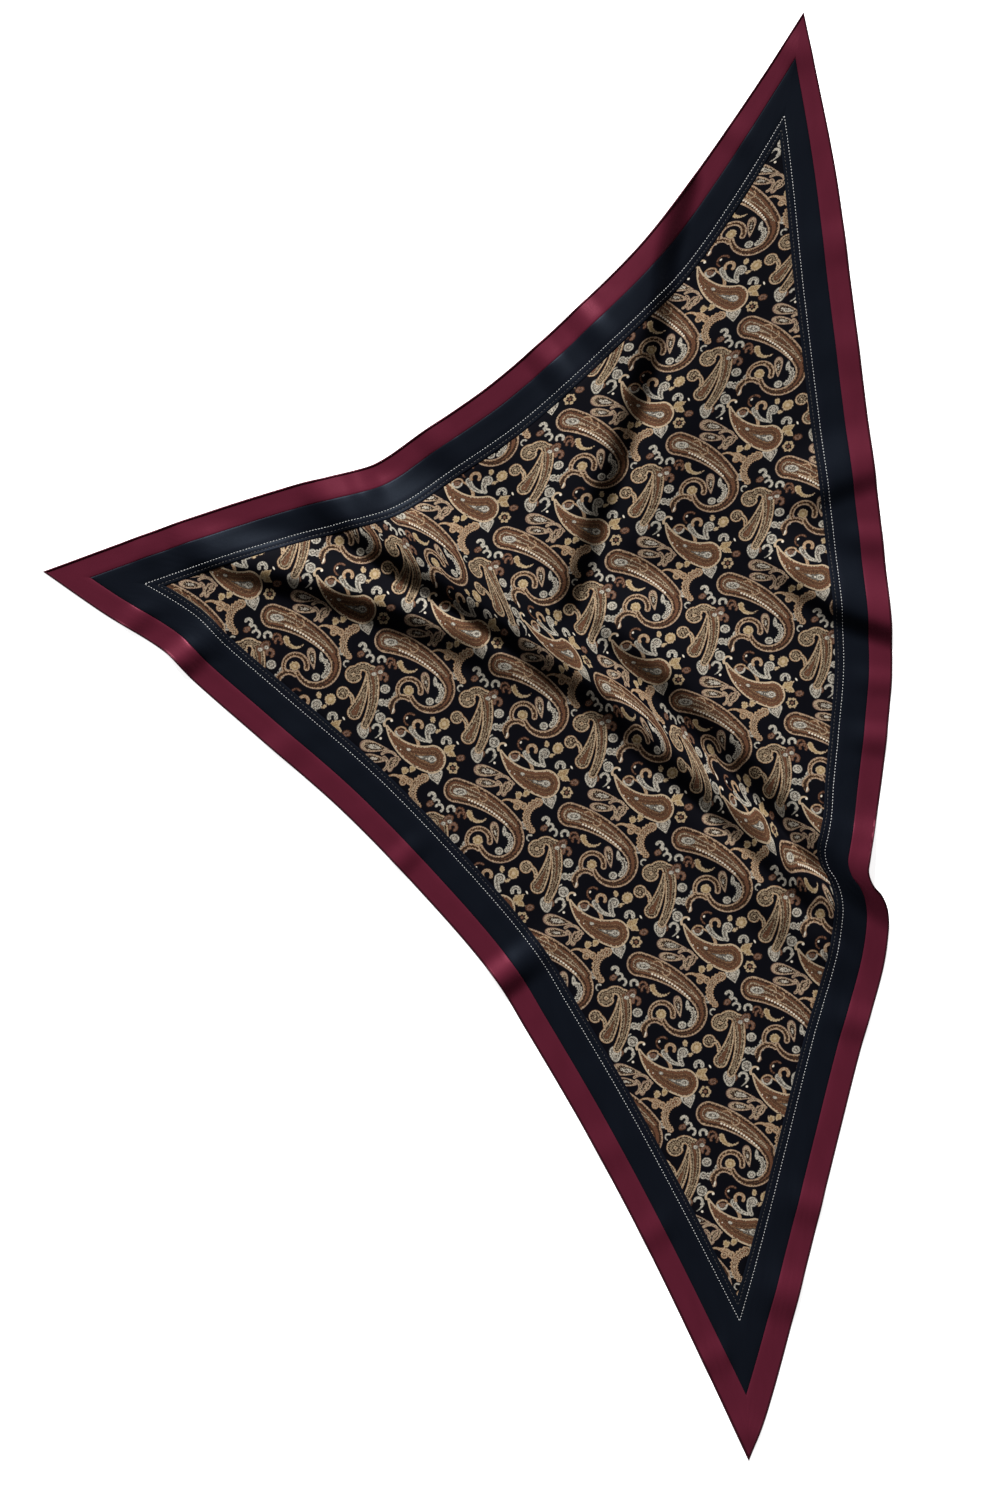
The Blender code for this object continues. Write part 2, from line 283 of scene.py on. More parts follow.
RIPPLES = [
    Ripple(262, 548, -40, 26, 18, 2.2),
    Ripple(208, 485, -35, 50, 18, 1.4),
    Ripple(93, 334, -50, 52, 18, 3.6),
    Ripple(59, 304, -52, 52, 17, 3.6),
    Ripple(-27, 238, -56, 42, 20, 3.0),
    Ripple(-86, 207, -68, 46, 17, 3.8),
    Ripple(-128, 195, -74, 42, 18, 4.0),
    Ripple(-228, 163, -68, 40, 20, 3.2),
    Ripple(-260, 151, -66, 30, 16, 2.2),
    Ripple(-264, 94, 46, 34, 14, 2.6),
    Ripple(-229, 60, 42, 60, 18, 5.6),
    Ripple(-150, -14, 46, 40, 24, 1.6),
    Ripple(-52, -98, 44, 36, 15, 2.0),
    Ripple(26, -194, 36, 70, 20, 6.0),
    Ripple(104, -334, 28, 45, 26, 1.4),
    Ripple(150, -396, 28, 36, 18, 1.8),
    Ripple(198, -496, 26, 28, 17, 2.2),
    Ripple(224, -556, 158, 30, 16, 1.8),
    Ripple(254, -446, 166, 42, 26, 4.0),
    Ripple(273, -375, 166, 40, 20, 2.6),
    Ripple(309, -228, 165, 40, 20, 2.6),
    Ripple(316, -76, 168, 40, 14, 1.4),
    Ripple(325, -2, 172, 40, 17, 2.2),
    Ripple(329, 44, 174, 36, 15, 1.6),
    Ripple(322, 158, 174, 36, 17, 2.0),
    Ripple(314, 309, 172, 50, 26, 1.2),
    Ripple(302, 396, 180, 40, 24, 1.8),
]


# --- Lines in plan ------------------------------------------------------------------------------


def smooth_line(points: list[tuple[float, float]]) -> np.ndarray:
    """Draw a soft curve through points.

    Args:
        points: The (x, y) places that the curve goes through.

    Returns:
        A dense line of points, as an array with two columns.
    """
    knots = [Vector((*point, 0.0)) for point in points]
    spans = [(b - a).length for a, b in zip(knots, knots[1:])]
    slopes = [(knots[1] - knots[0]) / spans[0]]
    for i in range(1, len(knots) - 1):
        slopes.append((knots[i + 1] - knots[i - 1]) / (spans[i - 1] + spans[i]))
    slopes.append((knots[-1] - knots[-2]) / spans[-1])
    line = [knots[0]]
    for i, span in enumerate(spans):
        start_handle = knots[i] + slopes[i] * span / 3
        end_handle = knots[i + 1] - slopes[i + 1] * span / 3
        curve = interpolate_bezier(knots[i], start_handle, end_handle, knots[i + 1], SPAN_STEPS)
        line.extend(curve[1:])
    return np.array([point.xy for point in line])


def lengths_along(line: np.ndarray) -> np.ndarray:
    """Return the distance from the start of a line to each of its points."""
    steps = np.linalg.norm(np.diff(line, axis=0), axis=1)
    return np.concatenate([[0.0], np.cumsum(steps)])


def evenly(line: np.ndarray, count: int) -> np.ndarray:
    """Space a line's points evenly.

    Args:
        line: The line, as an array with two columns.
        count: How many points it gets.

    Returns:
        The same line with its new points.
    """
    lengths = lengths_along(line)
    places = np.linspace(0.0, lengths[-1], count)
    return np.column_stack([np.interp(places, lengths, line[:, k]) for k in (0, 1)])


class Edge:
    """One outer edge of the scarf, walked with the cloth on its left."""

    def __init__(
        self, start: Tip, bends: list[tuple[float, float]], end: Tip, lean: float = 0.0
    ) -> None:
        """Lay the edge from one corner to the next.

        Args:
            start: The corner that it leaves.
            bends: The places in between, millimetres.
            end: The corner that it reaches.
            lean: How far the way into the cloth turns where the edge dips, radians.
        """
        corners = [(start.x, start.y), *bends, (end.x, end.y)]
        self.line = evenly(smooth_line(corners) * MM, EDGE_SAMPLES)
        self.length = float(lengths_along(self.line)[-1])
        self.place = np.linspace(0.0, 1.0, EDGE_SAMPLES)
        self.inward = self.directions(lean)
        self.share = self.width_share(start, end)

    def directions(self, lean: float) -> np.ndarray:
        """Find the way into the cloth all along the edge.

        Args:
            lean: How far that way turns where the edge dips, radians.

        Returns:
            Unit vectors, evened out over a short window.
        """
        half = round(DIRECTION_WINDOW / self.length * EDGE_SAMPLES)
        along = np.gradient(self.line, axis=0)
        padded = np.pad(along, ((half, half), (0, 0)), mode="edge")
        window = np.hanning(2 * half + 1)
        even = np.column_stack([np.convolve(padded[:, k], window, "valid") for k in (0, 1)])
        even /= np.linalg.norm(even, axis=1)[:, None]
        turn = lean * np.exp(-(((self.place - NOTCH_PLACE) / NOTCH_SPREAD) ** 2))
        inward = np.column_stack([-even[:, 1], even[:, 0]])
        cosine, sine = np.cos(turn), np.sin(turn)
        return np.column_stack([
            inward[:, 0] * cosine - inward[:, 1] * sine,
            inward[:, 0] * sine + inward[:, 1] * cosine,
        ])

    def width_share(self, start: Tip, end: Tip) -> np.ndarray:
        """Find how much of its full width a band keeps all along the edge.

        Args:
            start: The corner that the edge leaves.
            end: The corner that it reaches.

        Returns:
            The share at each of the edge's points.
        """
        from_start = self.place * self.length
        from_end = self.length - from_start
        near_start = np.exp(-((from_start / TIP_REACH) ** 2))
        near_end = np.exp(-((from_end / TIP_REACH) ** 2))
        return 1.0 - start.narrowing * near_start - end.narrowing * near_end

    def inset(self, distance: float) -> np.ndarray:
        """Return the edge moved into the cloth by a distance in metres."""
        return self.line + self.inward * (distance * self.share)[:, None]


def crossing(leaving: np.ndarray, arriving: np.ndarray) -> tuple[float, float]:
    """Find where two inset edges meet at a corner.

    Args:
        leaving: The line whose end is at the corner.
        arriving: The line whose start is at the corner.

    Returns:
        The meeting place along each of them, in samples.
    """
    tail = leaving[-CORNER_SEARCH:]
    head = arriving[:CORNER_SEARCH]
    i, j = closest(tail[::CORNER_STRIDE], head[::CORNER_STRIDE])
    fine = 3 * CORNER_STRIDE
    from_i = min(max((i - 1) * CORNER_STRIDE, 0), CORNER_SEARCH - fine)
    from_j = min(max((j - 1) * CORNER_STRIDE, 0), CORNER_SEARCH - fine)
    i, j = closest(tail[from_i:from_i + fine], head[from_j:from_j + fine])
    i = min(max(from_i + i, 1), CORNER_SEARCH - 2)
    j = min(max(from_j + j, 1), CORNER_SEARCH - 2)
    step_tail = (tail[i + 1] - tail[i - 1]) / 2
    step_head = (head[j + 1] - head[j - 1]) / 2
    shift = np.linalg.solve(np.column_stack([step_tail, -step_head]), head[j] - tail[i])
    return float(EDGE_SAMPLES - CORNER_SEARCH + i + shift[0]), float(j + shift[1])


def closest(first: np.ndarray, second: np.ndarray) -> tuple[int, int]:
    """Find which points of two lines are nearest to each other.

    Args:
        first: One line.
        second: The other line.

    Returns:
        The number of the point on each of them.
    """
    gaps = ((first[:, None] - second[None]) ** 2).sum(axis=2)
    i, j = np.unravel_index(gaps.argmin(), gaps.shape)
    return int(i), int(j)


class Ring:
    """The closed line a given distance inside the scarf's outer edge, in three spans."""

    def __init__(self, edges: list[Edge], distance: float) -> None:
        """Inset the edges and trim them where they meet.

        Args:
            edges: The scarf's three outer edges.
            distance: How far inside them the line runs, metres.
        """
        self.lines = [edge.inset(distance) for edge in edges]
        self.starts = [0.0, 0.0, 0.0]
        self.ends = [float(EDGE_SAMPLES - 1)] * 3
        if distance > 0:
            for k in range(3):
                after = (k + 1) % 3
                self.ends[k], self.starts[after] = crossing(self.lines[k], self.lines[after])

    def points(self, side: int, shares: np.ndarray) -> np.ndarray:
        """Find points on one span.

        Args:
            side: The number of the span.
            shares: How far along it each point is, from 0 to 1.

        Returns:
            Their places in plan.
        """
        places = self.starts[side] + (self.ends[side] - self.starts[side]) * shares
        samples = np.arange(EDGE_SAMPLES)
        line = self.lines[side]
        return np.column_stack([np.interp(places, samples, line[:, k]) for k in (0, 1)])

    def span(self, side: int) -> np.ndarray:
        """Return one whole span as a dense line."""
        return self.points(side, np.linspace(0.0, 1.0, EDGE_SAMPLES))


def crowded(shares: np.ndarray) -> np.ndarray:
    """Crowd stations on the long edge where the edge dips.

    Args:
        shares: Even stations, from 0 to 1.

    Returns:
        The same number of stations, closer together at the dip.
    """
    places = np.linspace(0.0, 1.0, CROWDING_SAMPLES)
    density = 1.0 + NOTCH_CROWDING * np.exp(-(((places - NOTCH_PLACE) / (2 * NOTCH_SPREAD)) ** 2))
    counted = np.cumsum(density) - density[0]
    return np.interp(shares, counted / counted[-1], places)


# --- Height of the cloth ------------------------------------------------------------------------


def bell(distance: np.ndarray) -> np.ndarray:
    """Return 1 at the middle and exactly 0 from a distance of 1 on."""
    return 0.5 * (1.0 + np.cos(np.pi * np.clip(np.abs(distance), 0.0, 1.0)))


class Crest:
    """A fold's crest line, with its height and the reach of its slopes all along."""

    def __init__(self, rows: list[Fold]) -> None:
        """Draw the crest.

        Args:
            rows: The points that it goes through, with the fold's size at each.
        """
        places = [(row.x, row.y) for row in rows]
        line = smooth_line(places) * MM
        length = lengths_along(line)[-1]
        spots = lengths_along(np.array(places) * MM)
        self.spots = spots * (length / spots[-1])
        self.rows = rows
        self.count = round(length / FOLD_STEP)
        self.line = evenly(line, self.count)
        along = np.gradient(self.line, axis=0)
        self.step = float(np.linalg.norm(along[1]))
        self.along = along / np.linalg.norm(along, axis=1)[:, None]

    def measure(self, plan: np.ndarray) -> tuple[np.ndarray, np.ndarray, np.ndarray]:
        """Measure plan points against the crest.

        Args:
            plan: The points, metres.

        Returns:
            How far along the crest each lies, how far to its left, and how far past its ends.
        """
        nearest = np.empty(len(plan), int)
        for start in range(0, len(plan), POINTS_AT_ONCE):
            part = plan[start:start + POINTS_AT_ONCE]
            gaps = ((part[:, None] - self.line[None]) ** 2).sum(axis=2)
            nearest[start:start + POINTS_AT_ONCE] = gaps.argmin(axis=1)
        away = plan - self.line[nearest]
        along = self.along[nearest]
        ahead = (away * along).sum(axis=1)
        aside = along[:, 0] * away[:, 1] - along[:, 1] * away[:, 0]
        at_end = (nearest == 0) | (nearest == self.count - 1)
        overshoot = np.where(at_end, np.abs(ahead), 0.0)
        travelled = nearest * self.step + np.clip(ahead, -FOLD_STEP, FOLD_STEP)
        return travelled, aside, overshoot

    def height(self, plan: np.ndarray) -> np.ndarray:
        """Find how high the fold lifts the cloth.

        Args:
            plan: The plan points, metres.

        Returns:
            The lift at each of them.
        """
        travelled, aside, overshoot = self.measure(plan)
        height = np.interp(travelled, self.spots, [row.height * MM for row in self.rows])
        left = np.interp(travelled, self.spots, [row.left * MM for row in self.rows])
        right = np.interp(travelled, self.spots, [row.right * MM for row in self.rows])
        reach = np.where(aside > 0, left, right)
        return FOLD_LIFT * height * bell(np.hypot(aside, overshoot) / reach)


def ripple_height(plan: np.ndarray, ripple: Ripple) -> np.ndarray:
    """Find how high one ripple lifts the cloth.

    Args:
        plan: The plan points, metres.
        ripple: The ripple.

    Returns:
        The lift at each of the points.
    """
    away = plan - np.array([ripple.x, ripple.y]) * MM
    heading = math.radians(ripple.heading)
    along = away[:, 0] * math.cos(heading) + away[:, 1] * math.sin(heading)
    across = away[:, 1] * math.cos(heading) - away[:, 0] * math.sin(heading)
    shape = bell(along / (ripple.along * MM)) * bell(across / (ripple.across * MM))
    return ripple.height * MM * shape


class Drape:
    """The form of the laid cloth: its outline, its height and its own coordinates."""

    def __init__(self) -> None:
        """Lay out the edges and the folds."""
        self.edges = [
            Edge(TOP, UPPER_BENDS, LEFT),
            Edge(LEFT, LOWER_BENDS, BOTTOM),
            Edge(BOTTOM, LONG_BENDS, TOP, lean=NOTCH_LEAN),
        ]
        self.crests = {name: Crest(rows) for name, rows in FOLDS.items()}
        self.rings: dict[float, Ring] = {}

    def ring(self, distance: float) -> Ring:
        """Draw a closed line inside the outer edge, or find it again.

        Args:
            distance: How far inside the edge it runs, metres.

        Returns:
            The line.
        """
        if distance not in self.rings:
            self.rings[distance] = Ring(self.edges, distance)
        return self.rings[distance]

    def height(self, plan: np.ndarray) -> np.ndarray:
        """Find how high the cloth's underside is above the floor.

        Args:
            plan: The plan points, metres.

        Returns:
            The height at each of them.
        """
        total = np.zeros(len(plan))
        for crest in self.crests.values():
            total += crest.height(plan) ** CREST_POWER
        lifted = total ** (1.0 / CREST_POWER)
        for ripple in RIPPLES:
            lifted = lifted + ripple_height(plan, ripple)
        return lifted

    def cloth_place(self, plan: np.ndarray) -> np.ndarray:
        """Find places on the flat print.

        The print beyond the main fold is drawn in towards it, because the fold takes up cloth.

        Args:
            plan: The plan points, metres.

        Returns:
            Where each of them is on the print before it was laid.
        """
        _, aside, _ = self.crests["main"].measure(plan)
        beyond = np.clip((aside - DRAWN_FROM) / DRAWN_OVER, 0.0, 1.0)
        beyond = beyond * beyond * (3 - 2 * beyond)
        climb = (plan[:, 1] - DRAWN_FOOT) / DRAWN_REACH
        slid = np.column_stack([
            DRAWN_SIDEWAYS[0] + DRAWN_SIDEWAYS[1] * climb ** 2,
            DRAWN_UPWARDS[0] + DRAWN_UPWARDS[1] * climb,
        ])
        return plan - slid * beyond[:, None]


# --- Shader maths -------------------------------------------------------------------------------


class Value:
    """A number that varies over a surface; arithmetic on it adds Math nodes."""

    def __init__(self, nodes: "Nodes", socket: bpy.types.NodeSocket) -> None:
        """Wrap a socket that gives numbers."""
        self.nodes = nodes
        self.socket = socket

    def __sub__(self, other: Any) -> "Value":
        """Return the difference."""
        return self.nodes.maths("SUBTRACT", self, other)

    def __rsub__(self, other: Any) -> "Value":
        """Return the difference, the other way round."""
        return self.nodes.maths("SUBTRACT", other, self)

    def __mul__(self, other: Any) -> "Value":
        """Return the product."""
        return self.nodes.maths("MULTIPLY", self, other)

    def __rmul__(self, other: Any) -> "Value":
        """Return the product."""
        return self.nodes.maths("MULTIPLY", other, self)

    def __truediv__(self, other: Any) -> "Value":
        """Return the quotient."""
        return self.nodes.maths("DIVIDE", self, other)

    def within(self, low: float, high: float) -> "Value":
        """Return the value held between two limits."""
        node = self.nodes.make("ShaderNodeClamp", {}, {"Value": self, "Min": low, "Max": high})
        return Value(self.nodes, node.outputs["Result"])


class Nodes:
    """A node tree, with the calls that fill it."""

    def __init__(self, tree: bpy.types.NodeTree) -> None:
        """Take a tree to fill."""
        self.tree = tree

    def make(self, kind: str, settings: dict[str, Any], inputs: dict[Any, Any]) -> bpy.types.Node:
        """Add a node.

        Args:
            kind: The node's type.
            settings: Its properties by name, and a ramp's stops as "stops".
            inputs: What each socket holds or is linked to, by name or number.

        Returns:
            The new node.
        """
        node = self.tree.nodes.new(kind)
        for key, setting in settings.items():
            if key == "stops":
                self.set_stops(node.color_ramp, setting)
            else:
                setattr(node, key, setting)
        for key, given in inputs.items():
            self.feed(node.inputs[key], given)
        return node

    def set_stops(self, ramp: bpy.types.ColorRamp, stops: list[tuple[float, tuple]]) -> None:
        """Give a colour ramp its stops.

        Args:
            ramp: The ramp, which has two stops already.
            stops: The place of each, from 0 to 1, and its colour with its alpha.
        """
        for place, _ in stops[2:]:
            ramp.elements.new(place)
        for element, (place, colour) in zip(ramp.elements, stops):
            element.position = place
            element.color = colour

    def feed(self, socket: bpy.types.NodeSocket, given: Any) -> None:
        """Give a socket what it needs.

        Args:
            socket: The socket.
            given: A value or another socket to link it to, or a plain number or tuple to hold.
        """
        if isinstance(given, Value):
            self.tree.links.new(given.socket, socket)
        elif isinstance(given, bpy.types.NodeSocket):
            self.tree.links.new(given, socket)
        else:
            socket.default_value = given

    def maths(self, operation: str, *operands: Any) -> Value:
        """Return the result of a Math node on values and plain numbers."""
        node = self.make("ShaderNodeMath", {"operation": operation}, dict(enumerate(operands)))
        return Value(self, node.outputs[0])

    def vector(self, operation: str, *operands: Any) -> bpy.types.Node:
        """Return a Vector Math node on vectors."""
        settings = {"operation": operation}
        return self.make("ShaderNodeVectorMath", settings, dict(enumerate(operands)))

    def parts(self, vector: bpy.types.NodeSocket) -> tuple[Value, Value]:
        """Split a vector.

        Args:
            vector: The vector.

        Returns:
            Its first two parts.
        """
        x, y = (
            self.vector("DOT_PRODUCT", vector, axis).outputs["Value"]
            for axis in ((1.0, 0.0, 0.0), (0.0, 1.0, 0.0))
        )
        return Value(self, x), Value(self, y)

    def joined(self, x: Any, y: Any) -> bpy.types.NodeSocket:
        """Return a flat vector made of two values."""
        return self.make("ShaderNodeCombineXYZ", {}, {"X": x, "Y": y}).outputs["Vector"]

    def mapped(
        self, vector: bpy.types.NodeSocket, centre: Any, turn: Any, size: Any
    ) -> bpy.types.NodeSocket:
        """Return a vector as seen from a centre, after a turn in radians and a size."""
        inputs = {"Vector": vector, "Location": centre, "Rotation": turn, "Scale": size}
        return self.make("ShaderNodeMapping", {"vector_type": "TEXTURE"}, inputs).outputs["Vector"]

    def uv(self) -> bpy.types.NodeSocket:
        """Return the piece's own flat coordinates, metres."""
        return self.make("ShaderNodeUVMap", {"uv_map": CLOTH_UV}, {}).outputs["UV"]

    def blend(self, factor: Any, first: Any, second: Any) -> bpy.types.NodeSocket:
        """Return two colours mixed by a factor."""
        inputs = {0: factor, 6: first, 7: second}
        return self.make("ShaderNodeMix", {"data_type": "RGBA"}, inputs).outputs[2]

    def ramp(self, place: Value, stops: list[tuple[float, tuple]]) -> bpy.types.NodeSocket:
        """Return the colour of a ramp that reads a value."""
        return self.make("ShaderNodeValToRGB", {"stops": stops}, {"Fac": place}).outputs["Color"]

    def noise(
        self, vector: bpy.types.NodeSocket, scale: float = 1.0, detail: float = 2.0
    ) -> Value:
        """Return soft noise from 0 to 1 at a vector."""
        inputs = {"Vector": vector, "Scale": scale, "Detail": detail}
        return Value(self, self.make("ShaderNodeTexNoise", {}, inputs).outputs["Fac"])

    def use(self, stencil: "Stencil", **given: Any) -> bpy.types.NodeSocket:
        """Return what a stencil gives for what its sockets are fed, by name."""
        inputs = {key.replace("_", " "): item for key, item in given.items()}
        return self.make("ShaderNodeGroup", {"node_tree": stencil.tree}, inputs).outputs[0]


class Paint(Nodes):
    """The nodes of one material."""

    def __init__(self, name: str) -> None:
        """Start a material with nothing but its shader and its output.

        Args:
            name: The material's name.
        """
        self.material = bpy.data.materials.new(name)
        self.material.use_nodes = True
        super().__init__(self.material.node_tree)
        self.shader = self.tree.nodes["Principled BSDF"]

    def set_plain(self, **sockets: Any) -> None:
        """Set the shader's own sockets to plain values, by name with _ for a space."""
        for name, given in sockets.items():
            self.shader.inputs[name.replace("_", " ")].default_value = given

    def lead(self, socket: str, given: Any) -> None:
        """Lead what varies over the surface to one of the shader's sockets."""
        self.feed(self.shader.inputs[socket], given)


class Stencil(Nodes):
    """A group of nodes that is used again and again, with one result."""

    def __init__(self, name: str, result: str, **sockets: str) -> None:
        """Start a group.

        Args:
            name: The group's name.
            result: The kind of its result: Float, Vector or Color.
            sockets: The kind of each of its inputs, by name with _ for a space.
        """
        super().__init__(bpy.data.node_groups.new(name, "ShaderNodeTree"))
        face = self.tree.interface
        for key, kind in sockets.items():
            face.new_socket(key.replace("_", " "), in_out="INPUT", socket_type=f"NodeSocket{kind}")
        face.new_socket("Result", in_out="OUTPUT", socket_type=f"NodeSocket{result}")
        self.given = self.make("NodeGroupInput", {}, {}).outputs

    def value(self, name: str) -> Value:
        """Return one of the numbers that the group is given."""
        return Value(self, self.given[name])

    def seen_from_centre(self) -> tuple[Value, Value]:
        """Measure the place that the group is given against its centre.

        Returns:
            How far ahead and how far aside of the centre it is, by the group's two axes.
        """
        away = self.vector("SUBTRACT", self.given["Place"], self.given["Centre"]).outputs["Vector"]
        ahead = self.vector("DOT_PRODUCT", away, self.given["Ahead"]).outputs["Value"]
        aside = self.vector("DOT_PRODUCT", away, self.given["Aside"]).outputs["Value"]
        return Value(self, ahead), Value(self, aside)

    def close(self, result: Any) -> "Stencil":
        """Lead the result out of the group and return the group."""
        self.make("NodeGroupOutput", {}, {"Result": result})
        return self


# --- The print ----------------------------------------------------------------------------------

Colour = tuple[float, float, float]

NIGHT: Colour = (0.0014, 0.0014, 0.0024)
UMBER: Colour = (0.020, 0.0105, 0.0065)
RUST: Colour = (0.086, 0.038, 0.020)
AMBER: Colour = (0.150, 0.082, 0.042)
TAN: Colour = (0.310, 0.232, 0.152)
STRAW: Colour = (0.250, 0.190, 0.120)
YELLOW: Colour = (0.250, 0.190, 0.095)
CREAM: Colour = (0.540, 0.470, 0.370)
ASH: Colour = (0.115, 0.108, 0.092)
PEARL: Colour = (0.390, 0.350, 0.285)
ROSE: Colour = (0.130, 0.080, 0.058)


class Ink(Enum):
    """How a motif is inked from its rim inwards: depths in chart steps, and colours."""

    TEAR = ((0.0, TAN), (1.3, TAN), (1.7, UMBER), (2.3, RUST), (4.0, RUST), (4.6, UMBER),
            (5.4, AMBER), (6.2, UMBER), (7.2, RUST), (8.2, UMBER), (9.2, AMBER), (10.2, UMBER),
            (11.2, ASH), (12.2, UMBER), (13.2, PEARL))
    SCROLL = ((0.0, ROSE), (0.7, TAN), (1.3, AMBER), (1.9, UMBER), (3.3, UMBER), (4.1, RUST),
              (5.2, RUST), (5.9, UMBER), (6.7, TAN), (7.4, UMBER), (8.6, RUST), (9.8, UMBER),
              (10.6, TAN), (11.4, UMBER), (12.6, ROSE))
    LEAF = ((0.0, ROSE), (0.9, TAN), (1.5, UMBER), (2.6, UMBER), (3.4, PEARL), (4.4, UMBER),
            (5.4, ASH))
    STEM = ((0.0, AMBER), (0.8, TAN), (1.5, AMBER), (2.3, UMBER), (3.0, TAN), (3.8, RUST))
    BROWN = ((0.0, UMBER), (0.8, RUST), (1.6, ROSE), (2.6, UMBER), (3.4, RUST), (4.6, UMBER))
    PALE = ((0.0, ASH), (0.8, PEARL), (1.5, ASH), (2.3, UMBER), (3.1, PEARL), (3.9, UMBER),
            (4.9, PEARL), (6.0, ASH))
    GOLD = ((0.0, UMBER), (0.6, TAN), (1.5, YELLOW), (2.4, AMBER), (3.2, YELLOW), (4.4, TAN))
    WHITE = ((0.0, PEARL), (0.8, CREAM), (3.0, CREAM))
    NESTED = ((0.0, AMBER), (0.7, TAN), (1.3, STRAW), (1.8, UMBER), (2.7, UMBER), (3.4, STRAW),
              (4.1, UMBER), (5.0, RUST), (6.0, RUST), (6.8, UMBER), (7.6, TAN))

    def stops(self) -> list[tuple[float, tuple]]:
        """Work out the ink's ramp; outside the rim nothing is inked.

        Returns:
            The ramp's stops.
        """
        rim = self.value[0][1]
        inside = [(depth / INK_REACH + RIM_PLACE, (*colour, 1.0)) for depth, colour in self.value]
        return [(0.0, (*rim, 0.0)), *inside]


def axes(turn: float, along: float, across: float) -> dict[str, tuple[float, float, float]]:
    """Work out a motif's two axes, scaled so that its own size counts as 1 along each.

    Args:
        turn: The heading of the first axis, degrees.
        along: The size that counts as 1 along the first axis.
        across: The size that counts as 1 along the second.

    Returns:
        What a stencil's two sockets for the axes are given, by name.
    """
    cosine, sine = math.cos(math.radians(turn)), math.sin(math.radians(turn))
    return {
        "Ahead": (cosine / along, sine / along, 0.0),
        "Aside": (-sine / across, cosine / across, 0.0),
    }


@dataclass(frozen=True)
class Scroll:
    """A tapering arc: its centre and radius, its first and last angle and half width there.

    Angles are degrees from +X towards +Y. A beaded one swells again and again along its way.
    """

    x: float
    y: float
    radius: float
    start: float
    end: float
    head: float
    tail: float
    beads: float = 0.0

    @staticmethod
    def stencil(beaded: bool) -> Stencil:
        """Make the group that tells how far inside an arc's rim a place is.

        Args:
            beaded: Whether it is for arcs that swell again and again.

        Returns:
            The group.
        """
        group = Stencil(
            "beaded_scroll" if beaded else "scroll", "Float", Place="Vector", Centre="Vector",
            Ahead="Vector", Aside="Vector", Half="Float", Slope="Float", Width="Float",
            Beads="Float", Swell="Float", Reach="Float",
        )
        x, y = group.seen_from_centre()
        local = group.joined(x, y)
        half = group.value("Half")
        swept = group.maths("ARCTAN2", y, x).within(half * -1.0, half)
        nearest = group.joined(group.maths("COSINE", swept), group.maths("SINE", swept))
        away = Value(group, group.vector("DISTANCE", local, nearest).outputs["Value"])
        width = group.maths("MULTIPLY_ADD", swept, group.value("Slope"), group.value("Width"))
        if beaded:
            wave = group.maths("COSINE", swept * group.value("Beads"))
            width = group.maths("MULTIPLY_ADD", wave, group.value("Swell"), width)
        return group.close((width - away) * group.value("Reach"))

    def depth(self, nodes: Nodes, kit: "Kit", place: bpy.types.NodeSocket) -> Value:
        """Measure how far inside the arc's rim a place is.

        Args:
            nodes: The nodes to add to.
            kit: The stencils.
            place: The place on the chart.

        Returns:
            The depth, as a share of the ink's reach.
        """
        half = math.radians(abs(self.end - self.start) / 2)
        way = 1 if self.end > self.start else -1
        socket = nodes.use(
            kit.beaded if self.beads else kit.scroll,
            Place=place,
            Centre=(self.x, self.y, 0.0),
            **axes((self.start + self.end) / 2, self.radius, self.radius),
            Half=half,
            Slope=way * (self.tail - self.head) / (2 * half * self.radius),
            Width=(self.head + self.tail) / (2 * self.radius),
            Beads=2 * math.pi * self.radius / self.beads if self.beads else 0.0,
            Swell=BEAD_SWELL / self.radius,
            Reach=self.radius / INK_REACH,
        )
        return Value(nodes, socket)


@dataclass(frozen=True)
class Petal:
    """A drop or an oval: its middle, its half length and half width, its heading and its point.

    The point is from 0, an oval, to 0.95, a drop with its tip at the end that it heads for.
    """

    x: float
    y: float
    along: float
    across: float
    heading: float = 0.0
    point: float = 0.0

    @staticmethod
    def stencil() -> Stencil:
        """Make the group that tells how far inside a petal's rim a place is.

        Returns:
            The group.
        """
        group = Stencil(
            "petal", "Float", Place="Vector", Centre="Vector", Ahead="Vector", Aside="Vector",
            Point="Float", Reach="Float",
        )
        x, y = group.seen_from_centre()
        slim = 1.0 - x * group.value("Point")
        size = group.vector("LENGTH", group.joined(x, y / slim)).outputs["Value"]
        return group.close((1.0 - Value(group, size)) * group.value("Reach"))

    def depth(self, nodes: Nodes, kit: "Kit", place: bpy.types.NodeSocket) -> Value:
        """Measure how far inside the petal's rim a place is.

        Args:
            nodes: The nodes to add to.
            kit: The stencils.
            place: The place on the chart.

        Returns:
            The depth, as a share of the ink's reach.
        """
        socket = nodes.use(
            kit.petal,
            Place=place,
            Centre=(self.x, self.y, 0.0),
            **axes(self.heading, self.along, self.across),
            Point=self.point,
            Reach=self.across / INK_REACH,
        )
        return Value(nodes, socket)


@dataclass(frozen=True)
class Spray:
    """Motifs that repeat together: the middle of their repeat, and what is inked in turn."""

    x: float
    y: float
    layers: tuple[tuple[Ink, tuple[Scroll | Petal, ...]], ...]


